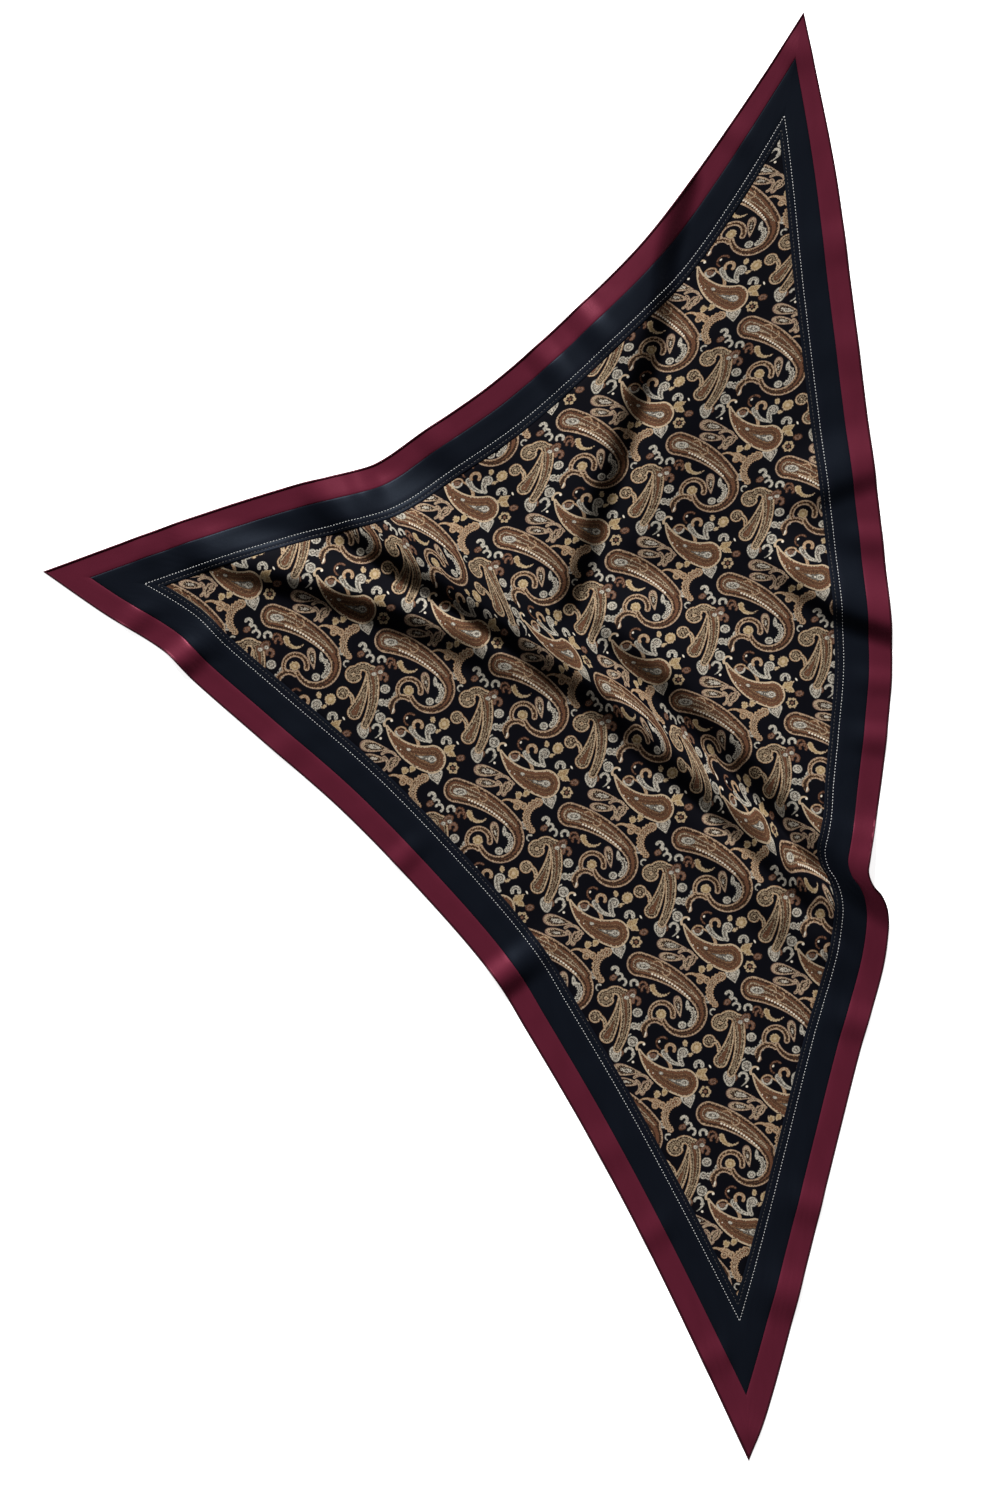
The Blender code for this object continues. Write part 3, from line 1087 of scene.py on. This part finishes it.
SPRAYS = (
    Spray(-44, 4, (
        (Ink.LEAF, (
            Scroll(-30, -9, 6.0, 150, 60, 2.6, 1.6),
            Scroll(-46, -8, 7.0, 60, -60, 2.0, 1.8),
            Petal(-36, -9, 8, 3.2, 80, 0.3),
        )),
        (Ink.PALE, (
            Scroll(-49.8, 27, 4.0, 170, -40, 1.6, 1.6),
            Scroll(-58, 30, 14.0, -20, -62, 1.5, 0.6),
        )),
        (Ink.BROWN, (
            Scroll(-59, 26, 2.4, 150, -60, 1.9, 1.7),
        )),
        (Ink.GOLD, (
            Petal(-22, -15.6, 4.6, 3.8, 70, -0.5),
        )),
        (Ink.STEM, (
            Scroll(-33, -30, 10.5, 120, 45, 1.0, 1.8),
            Petal(-23.8, -26.5, 3.8, 3.8),
        )),
        (Ink.LEAF, (
            Petal(-52, 8.6, 15.5, 5.2, -10, 0.75),
        )),
        (Ink.WHITE, (
            Petal(-46, 17.1, 1.4, 1.4),
        )),
    )),
    Spray(6, 8, (
        (Ink.PALE, (
            Petal(9.5, -21.5, 8.0, 6.5, -75, 0.8),
            Scroll(19.8, 14.0, 3.6, 200, -20, 2.2, 2.2),
        )),
        (Ink.GOLD, (
            Petal(24, 7.5, 6.5, 4.0, 35, 0.8),
            Petal(25, 1.5, 6.0, 3.6, -30, 0.8),
            Petal(20, 6, 5.0, 3.6, 90, 0.6),
        )),
        (Ink.BROWN, (
            Petal(34, -2.5, 5.0, 3.8, 10),
        )),
        (Ink.GOLD, (
            Scroll(26.2, -12.5, 4.4, 179, -179, 1.7, 1.7, 4.6),
        )),
        (Ink.BROWN, (
            Petal(26.2, -12.5, 2.2, 2.2),
        )),
        (Ink.STEM, (
            Scroll(-25.3, 22, 6.4, 190, 50, 1.2, 1.1),
            Scroll(-26, 8, 18, 74, 10, 1.1, 1.9),
        )),
        (Ink.BROWN, (
            Petal(-26, 23.4, 5.0, 3.2, 0),
            Scroll(-16.5, 36, 6.0, 245, 50, 1.2, 1.5),
        )),
        (Ink.PALE, (
            Scroll(-26, 24, 4.6, 185, 355, 1.3, 1.3),
            Scroll(2.5, 33, 18.5, 200, 266, 3.4, 1.7),
            Scroll(4.2, 26.4, 1.6, 170, -80, 4.4, 3.4),
            Scroll(14, 22, 13, 170, 215, 3.2, 2.4),
        )),
        (Ink.STEM, (
            Scroll(-8.8, 30.4, 4.4, 215, -30, 1.7, 1.9),
        )),
        (Ink.GOLD, (
            Petal(17.6, 31.7, 6.4, 5.8, 60),
            Petal(11.6, 24.6, 4.0, 2.2, 25, 0.5),
            Petal(6.2, 35.8, 3.9, 3.0, 100),
        )),
        (Ink.TEAR, (
            Scroll(9.5, 49, 53, -95, -158, 14.6, 1.5),
            Scroll(-37.6, 32, 4.8, 205, 55, 1.5, 1.0),
        )),
        (Ink.PALE, (
            Petal(5.5, -3.6, 4.6, 3.4, -8),
            Petal(-18, 6.0, 2.6, 1.7, 160),
            Petal(-5.5, -1.5, 3.2, 1.2, 160),
        )),
        (Ink.WHITE, (
            Petal(-35.0, 34.9, 1.5, 1.5),
            Petal(-19.7, 37.6, 1.6, 1.1, 60),
            Petal(-26.0, 6.1, 0.8, 0.8),
            Petal(-30.6, 9.0, 0.7, 1.0),
        )),
    )),
    Spray(56, 32, (
        (Ink.BROWN, (
            Scroll(71, 53.5, 3.4, 200, -60, 2.4, 2.2),
            Scroll(80, 65, 3.4, 200, -40, 1.8, 1.8),
            Petal(62, 48, 5.0, 3.6, 40),
        )),
        (Ink.PALE, (
            Petal(72.4, 42, 5.2, 4.8),
            Scroll(73, 40, 12.0, -110, -20, 3.4, 4.0, 4.4),
            Petal(64.4, 29.5, 5.0, 1.9, 88),
            Scroll(67.6, 13.0, 2.6, 150, -200, 3.2, 2.6),
            Scroll(68.5, 12.5, 8.4, 175, 110, 0.9, 1.0),
            Scroll(34.0, 67, 3.0, 60, 250, 1.3, 0.8),
            Petal(50.4, 0.5, 8.5, 6.2, -85, 0.25),
        )),
        (Ink.NESTED, (
            Scroll(31, 30, 9, 80, -10, 2.6, 2.2),
            Scroll(30.2, 38, 3.0, 0, 300, 4.0, 3.6),
            Scroll(-10.8, 40.9, 71.9, 15, -29, 6.4, 4.4),
            Scroll(50, 56.5, 8.0, 130, 15, 4.5, 5.0),
            Scroll(41, 56.5, 4.6, 40, 330, 4.8, 4.2),
        )),
        (Ink.NESTED, (
            Scroll(-29.8, 63.2, 84.3, -5, -32, 1.8, 7.6),
        )),
        (Ink.WHITE, (
            Petal(31.0, 12.6, 2.2, 1.0, 120),
        )),
    )),
    Spray(66, -66, (
        (Ink.LEAF, (
            Petal(61, -27.5, 12.5, 4.4, -8, 0.3),
            Scroll(75.5, -30, 9.5, 130, 40, 1.8, 1.6),
            Scroll(77, -28, 7.5, 10, -70, 2.4, 2.2),
            Petal(68.6, -77, 11.5, 4.0, -80, 0.6),
        )),
        (Ink.STEM, (
            Scroll(88, -55.5, 10.5, 105, 35, 1.6, 2.0),
            Petal(97, -50.5, 3.9, 3.9),
        )),
        (Ink.GOLD, (
            Petal(99.5, -38, 4.6, 3.4, 60, -0.4),
            Scroll(52.6, -56, 10, -172, -45, 3.6, 0.9),
            Petal(51.2, -84.5, 5.6, 5.4, -5),
        )),
        (Ink.PALE, (
            Petal(97.8, -69.5, 4.4, 4.4),
            Petal(77.8, -75.5, 5.6, 2.3, 95, 0.3),
            Scroll(74, -86.5, 10.2, 52, -55, 2.6, 3.0, 3.6),
            Petal(72.4, -95.5, 4.4, 4.1),
        )),
        (Ink.SCROLL, (
            Scroll(44.5, -101.5, 10.8, 48, 196, 2.6, 3.8),
            Scroll(72.5, -84, 20, 40, -160, 6.2, 2.7),
            Scroll(51.7, -84.5, 11.6, 215, -10, 2.4, 3.2),
            Scroll(5.7, -141.7, 109.7, 77.6, 40.5, 12.6, 7.0),
        )),
        (Ink.STEM, (
            Scroll(47, -37.5, 5.8, 120, 10, 0.9, 0.9),
            Scroll(56.6, -42.0, 4.0, 180, 420, 0.9, 0.9),
            Scroll(-6, -150, 118, 66, 46, 0.9, 0.7),
        )),
        (Ink.PALE, (
            Petal(33.4, -36.2, 7.4, 3.9, -6),
        )),
        (Ink.WHITE, (
            Scroll(5.7, -141.7, 104, 70, 44, 0.7, 0.7, 3.2),
            Petal(35.6, -104.5, 3.2, 0.9, 75),
        )),
    )),
    Spray(8, -44, (
        (Ink.BROWN, (
            Petal(3.5, -48, 4.6, 3.4, 30),
            Scroll(33.2, -56.5, 4.0, 200, -30, 1.5, 1.7),
            Petal(21.5, -64, 6.6, 4.6, 40),
        )),
        (Ink.STEM, (
            Scroll(2, -38, 16.2, 104, 232, 4.8, 3.2, 3.4),
        )),
        (Ink.PALE, (
            Scroll(5.2, -40.5, 3.0, 160, -60, 1.8, 1.8),
            Scroll(12.6, -52.5, 3.6, 150, -60, 1.5, 1.5),
            Scroll(10.0, -46.5, 2.6, 150, -20, 1.4, 1.4),
            Scroll(24.2, -54.0, 3.4, 215, -20, 1.5, 1.7),
            Petal(16.6, -68.0, 2.8, 2.2),
            Petal(23.0, -66.0, 2.8, 2.2),
        )),
    )),
)


class Kit:
    """The stencils that the print is made with."""

    def __init__(self, step_a: tuple[float, float], step_b: tuple[float, float]) -> None:
        """Cut every stencil once.

        Args:
            step_a: One step of the repeat, chart steps.
            step_b: The other step of the repeat.
        """
        self.scroll = Scroll.stencil(beaded=False)
        self.beaded = Scroll.stencil(beaded=True)
        self.petal = Petal.stencil()
        self.repeat = self.repeat_stencil(step_a, step_b)
        self.inks = {ink: self.ink_stencil(ink) for ink in Ink}

    @staticmethod
    def repeat_stencil(step_a: tuple[float, float], step_b: tuple[float, float]) -> Stencil:
        """Make the group that brings a place back into the repeat round a middle.

        Args:
            step_a: One step of the repeat, chart steps.
            step_b: The other step of the repeat.

        Returns:
            The group.
        """
        group = Stencil("repeat", "Vector", Place="Vector", Middle="Vector")
        (ax, ay), (bx, by) = step_a, step_b
        size = ax * by - ay * bx
        place, middle = group.given["Place"], group.given["Middle"]
        away = group.vector("SUBTRACT", place, middle).outputs["Vector"]
        counts = [
            group.vector("DOT_PRODUCT", away, row).outputs["Value"]
            for row in ((by / size, -bx / size, 0.0), (-ay / size, ax / size, 0.0))
        ]
        half_on = group.vector("ADD", group.joined(*counts), (0.5, 0.5, 0.0)).outputs["Vector"]
        whole = group.vector("FLOOR", half_on).outputs["Vector"]
        shift = [
            group.vector("DOT_PRODUCT", whole, row).outputs["Value"]
            for row in ((ax, bx, 0.0), (ay, by, 0.0))
        ]
        return group.close(group.vector("SUBTRACT", place, group.joined(*shift)).outputs["Vector"])

    @staticmethod
    def ink_stencil(ink: Ink) -> Stencil:
        """Make the group that inks what lies inside a rim, over what is there already.

        Args:
            ink: The ink.

        Returns:
            The group.
        """
        group = Stencil(
            f"ink_{ink.name.lower()}", "Color", Under="Color", Depth="Float", Wobble="Float"
        )
        depth = group.value("Depth")
        mask = (depth * RIM_SHARPNESS).within(0.0, 1.0)
        shaken = group.maths("MULTIPLY_ADD", group.value("Wobble"), mask, depth)
        painted = group.ramp(shaken, ink.stops())
        return group.close(group.blend(mask, group.given["Under"], painted))


@dataclass(frozen=True)
class PrintFinish:
    """The paisley print: sprays of scrolls and petals inked on near-black satin.

    The repeat's two steps, the fine filling's scale and the thread's size are in chart steps.
    The filling shifts the ink's depth, in chart steps, and more so away from its own lines.
    """

    step_a: tuple[float, float] = (113.9, -24.5)
    step_b: tuple[float, float] = (69.2, -149.5)
    origin: tuple[float, float] = (0.1138, -0.1544)
    filling_scale: float = 0.62
    filling_randomness: float = 0.9
    filling_slope: float = -2.3
    filling_shift: float = 0.9
    thread: tuple[float, float, float] = (0.9, 0.5, 1.0)
    roughness: float = 0.7
    specular: float = 0.02
    unevenness: float = 0.5

    def inked(self, nodes: Nodes) -> bpy.types.NodeSocket:
        """Ink every spray's layers, one over the other.

        Args:
            nodes: The nodes to add to.

        Returns:
            The print's colour.
        """
        kit = Kit(self.step_a, self.step_b)
        place = nodes.mapped(
            nodes.uv(), (*self.origin, 0.0), STILL, (CHART_STEP, CHART_STEP, 1.0)
        )
        cells = nodes.make(
            "ShaderNodeTexVoronoi", {"voronoi_dimensions": "2D"},
            {
                "Vector": place, "Scale": self.filling_scale,
                "Randomness": self.filling_randomness,
            },
        )
        wobble = nodes.maths(
            "MULTIPLY_ADD", Value(nodes, cells.outputs["Distance"]),
            self.filling_slope / INK_REACH, self.filling_shift / INK_REACH,
        )
        colour: Any = (*NIGHT, 1.0)
        for spray in SPRAYS:
            local = nodes.use(kit.repeat, Place=place, Middle=(spray.x, spray.y, 0.0))
            for ink, motifs in spray.layers:
                depth = motifs[0].depth(nodes, kit, local)
                for motif in motifs[1:]:
                    depth = nodes.maths("MAXIMUM", depth, motif.depth(nodes, kit, local))
                colour = nodes.use(kit.inks[ink], Under=colour, Depth=depth, Wobble=wobble)
        thread = nodes.noise(nodes.mapped(place, STILL, STILL, self.thread))
        return nodes.blend(thread * self.unevenness, colour, (*NIGHT, 1.0))

    def material(self) -> bpy.types.Material:
        """Make the material of the printed triangle.

        Returns:
            The material.
        """
        paint = Paint("paisley_print")
        paint.set_plain(Roughness=self.roughness, Specular_IOR_Level=self.specular)
        paint.lead("Base Color", self.inked(paint))
        return paint.material


@dataclass(frozen=True)
class SatinFinish:
    """A plain satin: its colour, painted shade on its hem and how its threads catch the light.

    The sizes of a thread and a cloud of tone are in metres, along the band and across it.
    """

    name: str
    colour: Colour
    # Colour of the painted shade on the rolled hem.
    hem_shade: Colour
    gloss: Colour
    roughness: float
    specular: float
    thread: tuple[float, float, float] = (0.0012, 0.00035, 1.0)
    cloud: tuple[float, float, float] = (0.03, 0.012, 1.0)
    darkest: float = 0.86
    lightest: float = 1.12
    hem_shade_sharpness: float = 1500.0
    thread_relief: float = 0.0004
    thread_strength: float = 0.12

    def material(self) -> bpy.types.Material:
        """Make the material: threads across the band, clouds of tone, and painted shade on the
        hem.

        Returns:
            The material.
        """
        paint = Paint(self.name)
        paint.set_plain(Specular_Tint=(*self.gloss, 1.0), Specular_IOR_Level=self.specular)
        place = paint.uv()
        _, inward = paint.parts(place)
        thread = paint.noise(paint.mapped(place, STILL, STILL, self.thread))
        cloud = paint.noise(paint.mapped(place, STILL, STILL, self.cloud), detail=3.0)
        low = (*[part * self.darkest for part in self.colour], 1.0)
        high = (*[part * self.lightest for part in self.colour], 1.0)
        shade = paint.blend(cloud, low, high)
        # Painted shade: near the outer edge the colour turns to the darker hem colour, standing in
        # for the rolled hem's shadow.
        rim = ((HEM_SHADE_WIDTH - inward) * self.hem_shade_sharpness).within(0.0, 1.0)
        paint.lead("Base Color", paint.blend(rim, shade, (*self.hem_shade, 1.0)))
        spread = self.thread_strength
        smoothest = self.roughness - spread / 2
        paint.lead("Roughness", paint.maths("MULTIPLY_ADD", thread, spread, smoothest))
        bump = paint.make(
            "ShaderNodeBump", {},
            {"Strength": spread, "Distance": self.thread_relief, "Height": thread},
        )
        paint.lead("Normal", bump.outputs["Normal"])
        return paint.material


@dataclass(frozen=True)
class PlainFinish:
    """Sewing thread, or the floor: one colour with a little unevenness.

    The grain is the size of one patch of tone, metres.
    """

    name: str
    colour: Colour
    roughness: float
    grain: float
    unevenness: float
    specular: float = 0.3
    glow: float = 0.0

    def material(self) -> bpy.types.Material:
        """Make the material on Object coordinates.

        Returns:
            The material.
        """
        paint = Paint(self.name)
        paint.set_plain(
            Roughness=self.roughness, Specular_IOR_Level=self.specular,
            Emission_Color=(1.0, 1.0, 1.0, 1.0), Emission_Strength=self.glow,
        )
        place = paint.make("ShaderNodeTexCoord", {}, {}).outputs["Object"]
        low = (*[part * (1 - self.unevenness) for part in self.colour], 1.0)
        uneven = paint.noise(place, 1.0 / self.grain)
        paint.lead("Base Color", paint.blend(uneven, low, (*self.colour, 1.0)))
        return paint.material


# --- Building pieces ----------------------------------------------------------------------------


def creases(plan: np.ndarray) -> np.ndarray:
    """Work out the small unevenness of the laid cloth.

    Args:
        plan: The plan points, metres.

    Returns:
        How much higher or lower the cloth is at each of them.
    """
    rng = np.random.default_rng(CREASE_SEED)
    total = np.zeros(len(plan))
    for length in np.geomspace(*CREASE_LENGTHS):
        heading = rng.uniform(0, math.pi)
        wave = np.array([math.cos(heading), math.sin(heading)]) * (2 * math.pi / length)
        bend = rng.uniform(0, 2 * math.pi)
        total += CREASE_SLOPE * length * np.sin(plan @ wave + bend)
    return total


def creased(plan: np.ndarray, wall: np.ndarray) -> np.ndarray:
    """Return the thickness at each plan point with the small creases added on top."""
    return np.maximum(wall + creases(plan), wall * THINNEST_SHARE)


def write_uv(bm: bmesh.types.BMesh, places: np.ndarray) -> None:
    """Store the cloth's flat places as the mesh's UV map.

    Args:
        bm: The mesh.
        places: The place of each vertex on the flat cloth, metres.
    """
    layer = bm.loops.layers.uv.new(CLOTH_UV)
    for face in bm.faces:
        for loop in face.loops:
            loop[layer].uv = places[loop.vert.index]


def raise_shell(
    bm: bmesh.types.BMesh, plan: np.ndarray, under: np.ndarray, wall: np.ndarray,
    places: np.ndarray,
) -> None:
    """Lay a flat mesh on its form and give it a wall, straight up.

    Args:
        bm: The flat mesh.
        plan: Where each vertex goes in plan.
        under: The height of the underside at each vertex.
        wall: The thickness at each vertex.
        places: The cloth place of each vertex, for the UV map.
    """
    rise = bm.verts.layers.float.new("wall")
    bm.verts.index_update()
    for k, vert in enumerate(bm.verts):
        vert.co = (plan[k][0], plan[k][1], under[k])
        vert[rise] = wall[k]
    write_uv(bm, places)
    grown = bmesh.ops.extrude_face_region(bm, geom=bm.faces[:])
    for item in grown["geom"]:
        if isinstance(item, bmesh.types.BMVert):
            item.co.z += item[rise]
    bmesh.ops.recalc_face_normals(bm, faces=bm.faces[:])


def add_piece(
    bm: bmesh.types.BMesh, name: str, material: bpy.types.Material
) -> bpy.types.Object:
    """Turn a mesh into a piece of the scarf that rides on the root body.

    Args:
        bm: The finished shape, which is used up.
        name: The piece's name.
        material: What it is made of.

    Returns:
        The new object.
    """
    mesh = bpy.data.meshes.new(name)
    bm.to_mesh(mesh)
    bm.free()
    mesh.shade_smooth()
    mesh.set_sharp_from_angle(angle=SHARP_ANGLE)
    mesh.materials.append(material)
    piece = bpy.data.objects.new(name, mesh)
    bpy.context.scene.collection.objects.link(piece)
    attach(piece, ROOT)
    LOG.info("%s: %d faces", name, len(mesh.polygons))
    return piece


@dataclass
class PrintedTriangle:
    """The printed cloth in the middle, tucked a little under the navy band all round."""

    drape: Drape
    finish: PrintFinish
    cells: int = PANEL_CELLS
    wall: float = CLOTH
    tuck: float = 0.0008
    tuck_wall: float = 0.0003
    flat: tuple[float, float] = (0.654, 0.769)
    area: float = 0.2515

    def plan(self, ring: Ring, reach: np.ndarray, across: np.ndarray) -> np.ndarray:
        """Lay points of the split triangle in the ring.

        Args:
            ring: The line that the triangle fills.
            reach: How far each point is on the way from the left corner to the long edge.
            across: How far it is on the way from the upper leg to the lower one.

        Returns:
            Their places in plan.
        """
        across = across + (1 - crowded(1 - across) - across) * reach
        upper_leg = ring.points(0, 1 - reach)
        lower_leg = ring.points(1, reach)
        first = ring.points(0, np.zeros(1))
        last = ring.points(1, np.ones(1))
        along = across[:, None]
        bow = ring.points(2, 1 - across) - (first * (1 - along) + last * along)
        return upper_leg * (1 - along) + lower_leg * along + bow * reach[:, None]

    def build(self) -> bpy.types.Object:
        """Split a triangle again and again, lay it in its ring and give it its folds.

        Returns:
            The piece.
        """
        bm = bmesh.new()
        bm.faces.new([bm.verts.new(spot) for spot in ((0, 0, 0), (1, 0, 0), (1, 1, 0))])
        bmesh.ops.subdivide_edges(bm, edges=bm.edges[:], cuts=self.cells - 1, use_grid_fill=True)
        spots = np.array([vert.co.xy for vert in bm.verts])
        reach = np.round(spots[:, 0] * self.cells) / self.cells
        across = np.divide(spots[:, 1], reach, out=np.zeros(len(spots)), where=reach > 0)
        plan = self.plan(self.drape.ring(PRINT_EDGE - self.tuck), reach, across)
        on_rim = np.array([vert.is_boundary for vert in bm.verts])
        wall = creased(plan, np.full(len(plan), self.wall))
        wall = np.where(on_rim, self.tuck_wall, wall)
        places = self.drape.cloth_place(plan)
        raise_shell(bm, plan, self.drape.height(plan), wall, places)
        return add_piece(bm, "paisley_triangle", self.finish.material())


@dataclass
class Band:
    """One strip of satin along an edge of the scarf, mitred at both ends."""

    drape: Drape
    side: Side
    name: str
    slot: Cloth
    material: bpy.types.Material
    profile: tuple[tuple[float, float], ...]
    cells: int = BAND_CELLS

    def build(self) -> bpy.types.Object:
        """Lay a grid between the band's rings; its rows follow the profile of its thickness.

        Returns:
            The piece.
        """
        bm = bmesh.new()
        rows = len(self.profile) - 1
        bmesh.ops.create_grid(bm, x_segments=self.cells, y_segments=rows, size=1.0)
        spots = np.array([vert.co.xy for vert in bm.verts])
        share = np.round((spots[:, 0] + 1) / 2 * self.cells) / self.cells
        if self.side is Side.LONG:
            share = crowded(share)
        row = np.round((spots[:, 1] + 1) / 2 * rows).astype(int)
        plan = np.empty_like(spots)
        wall = np.empty(len(spots))
        places = np.empty_like(spots)
        length = self.drape.edges[self.side.value].length
        for k, (distance, thickness) in enumerate(self.profile):
            chosen = row == k
            ring = self.drape.ring(distance * MM)
            plan[chosen] = ring.points(self.side.value, share[chosen])
            wall[chosen] = thickness * MM
            places[chosen, 0] = share[chosen] * length
            places[chosen, 1] = distance * MM
        raise_shell(bm, plan, self.drape.height(plan), creased(plan, wall), places)
        return add_piece(bm, self.name, self.material)


@dataclass
class StitchRow:
    """A row of running stitches along one edge of the scarf."""

    drape: Drape
    side: Side
    sewing: Sewing
    material: bpy.types.Material
    bead_cuts: tuple[int, int] = (6, 4)

    def build(self) -> bpy.types.Object:
        """Set a bead of thread for every stitch, a stretch of the row at a time.

        Returns:
            The piece.
        """
        line = self.drape.ring(self.sewing.distance).span(self.side.value)
        count = round(lengths_along(line)[-1] / self.sewing.pitch)
        spots = evenly(line, 2 * count + 1)
        heights = self.drape.height(spots) + CLOTH + creases(spots)
        points = np.column_stack([spots, heights])
        rng = np.random.default_rng(self.sewing.seed)
        whole = bmesh.new()
        for start in range(1, 2 * count, 2 * STITCHES_AT_ONCE):
            stretch = bmesh.new()
            for k in range(start, min(start + 2 * STITCHES_AT_ONCE, 2 * count), 2):
                self.set_stitch(stretch, points[k], points[k + 1] - points[k - 1], rng)
            sewn = bpy.data.meshes.new("sewn")
            stretch.to_mesh(sewn)
            stretch.free()
            whole.from_mesh(sewn)
            bpy.data.meshes.remove(sewn)
        name = f"{self.sewing.thread}_stitches_{self.side.name.lower()}"
        return add_piece(whole, name, self.material)

    def set_stitch(
        self, bm: bmesh.types.BMesh, middle: np.ndarray, ahead: np.ndarray,
        rng: np.random.Generator,
    ) -> None:
        """Set one small flattened bead of thread.

        Args:
            bm: The mesh to add to.
            middle: Where the stitch is.
            ahead: The way that the row runs there.
            rng: What makes each stitch stray a little.
        """
        turn = Vector(ahead).to_track_quat("X", "Z").to_matrix().to_4x4()
        turn = turn @ Matrix.Rotation(rng.normal(0, self.sewing.stray), 4, "Z")
        long = self.sewing.length / 2 * rng.normal(1.0, self.sewing.stray)
        width = self.sewing.width
        size = Matrix.Diagonal((long, width / 2, width / 3, 1.0))
        around, along = self.bead_cuts
        bmesh.ops.create_uvsphere(
            bm, u_segments=around, v_segments=along, radius=1.0,
            matrix=Matrix.Translation(middle) @ turn @ size,
        )


@dataclass
class Border:
    """The two satin bands round the print, and their rows of stitches.

    The bands' lengths along the upper, the lower and the long edge are in metres.
    """

    drape: Drape
    wine: SatinFinish
    navy: SatinFinish
    white_thread: PlainFinish
    dark_thread: PlainFinish
    wine_lengths: tuple[float, float, float] = (0.80, 0.94, 1.22)
    navy_lengths: tuple[float, float, float] = (0.75, 0.88, 1.16)

    def build(self) -> None:
        wine = self.wine.material()
        navy = self.navy.material()
        white = self.white_thread.material()
        dark = self.dark_thread.material()
        for side in Side:
            edge = side.name.lower()
            outer = Band(
                self.drape, side, f"wine_satin_{edge}", Cloth.WINE, wine, WINE_PROFILE
            ).build()
            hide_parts(f"wine_band_{edge}")
            inner = Band(
                self.drape, side, f"navy_satin_{edge}", Cloth.NAVY, navy, NAVY_PROFILE
            ).build()
            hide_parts(f"navy_band_{edge}")
            rows = [
                StitchRow(self.drape, side, WHITE_SEWING, white).build(),
                StitchRow(self.drape, side, DARK_SEWING, dark).build(),
            ]


# --- Floor, light and camera --------------------------------------------------------------------


@dataclass
class Studio:
    """A plain pale floor, soft light and a camera straight above.

    Lengths are in metres and angles in degrees, but the lens and the sensor are in millimetres.
    """

    floor_size: float = 60.0
    floor_drop: float = 0.0002
    lens: float = 85.0
    sensor: float = 36.0
    key_azimuth: float = 106.0
    key_elevation: float = 27.0
    key_distance: float = 30.0
    key_size: float = 9.0
    key_energy: float = 36000.0
    sky: float = 0.13
    floor_finish: PlainFinish = PlainFinish(
        "pale_floor", (0.93, 0.93, 0.93), roughness=0.8, grain=0.5, unevenness=0.01, glow=0.85
    )

    def build(self) -> None:
        """Set up the floor, the lights and the camera."""
        self.lay_floor()
        self.hang_lights()
        self.set_camera()

    def lay_floor(self) -> None:
        """Lay the floor, which isn't part of the scarf."""
        bm = bmesh.new()
        bmesh.ops.create_grid(bm, x_segments=1, y_segments=1, size=self.floor_size / 2)
        bmesh.ops.translate(bm, verts=bm.verts[:], vec=(0.0, 0.0, -self.floor_drop))
        mesh = bpy.data.meshes.new("floor")
        bm.to_mesh(mesh)
        bm.free()
        mesh.materials.append(self.floor_finish.material())
        floor = bpy.data.objects.new("floor", mesh)
        bpy.context.scene.collection.objects.link(floor)

    def hang_lights(self) -> None:
        """Hang one large soft lamp beyond the top, and fill in from all round."""
        lamp = bpy.data.lights.new("key", "AREA")
        lamp.shape = "DISK"
        lamp.size = self.key_size
        lamp.energy = self.key_energy
        azimuth, elevation = math.radians(self.key_azimuth), math.radians(self.key_elevation)
        towards = Vector((
            math.cos(azimuth) * math.cos(elevation),
            math.sin(azimuth) * math.cos(elevation),
            math.sin(elevation),
        ))
        key = bpy.data.objects.new("key", lamp)
        key.location = towards * self.key_distance
        key.rotation_euler = towards.to_track_quat("Z", "Y").to_euler()
        bpy.context.scene.collection.objects.link(key)
        world = bpy.data.worlds.new("studio")
        world.use_nodes = True
        background = world.node_tree.nodes["Background"]
        background.inputs["Strength"].default_value = self.sky
        background.inputs["Color"].default_value = (1.0, 1.0, 1.0, 1.0)
        bpy.context.scene.world = world

    def set_camera(self) -> None:
        """Hang the camera over the middle of the photograph's frame."""
        camera = bpy.data.cameras.new("camera")
        camera.sensor_fit = "VERTICAL"
        camera.sensor_height = self.sensor
        camera.lens = self.lens
        eye = bpy.data.objects.new("camera", camera)
        eye.location = (*FRAME_CENTRE, FRAME_HEIGHT / self.sensor * self.lens)
        bpy.context.scene.collection.objects.link(eye)
        bpy.context.scene.camera = eye
        bpy.context.scene.view_settings.view_transform = "Standard"


def main() -> None:
    """Build the scarf, its floor, its lights and its camera."""
    logging.basicConfig(level=logging.INFO, format="%(name)s %(message)s")
    Studio().build()
    drape = Drape()
    triangle = PrintedTriangle(drape, PrintFinish())
    panel = triangle.build()
    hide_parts("paisley_panel")
    Border(
        drape,
        wine=SatinFinish(
            # The wine's hem colour is painted shade on its rolled hem; the navy's equals its own
            # colour.
            "wine_satin", colour=(0.0458, 0.0059, 0.0124), hem_shade=(0.016, 0.0024, 0.0048),
            gloss=(1.0, 0.2, 0.32), roughness=0.40, specular=0.18,
        ),
        navy=SatinFinish(
            "navy_satin", colour=(0.0025, 0.0032, 0.0052), hem_shade=(0.0025, 0.0032, 0.0052),
            gloss=(0.6, 0.75, 1.0), roughness=0.45, specular=0.045,
        ),
        white_thread=PlainFinish(
            "white_thread", (0.36, 0.36, 0.35), roughness=0.6, grain=0.0006, unevenness=0.25
        ),
        dark_thread=PlainFinish(
            "dark_thread", (0.018, 0.016, 0.015), roughness=0.6, grain=0.0006, unevenness=0.5
        ),
    ).build()


if __name__ == "__main__":
    main()
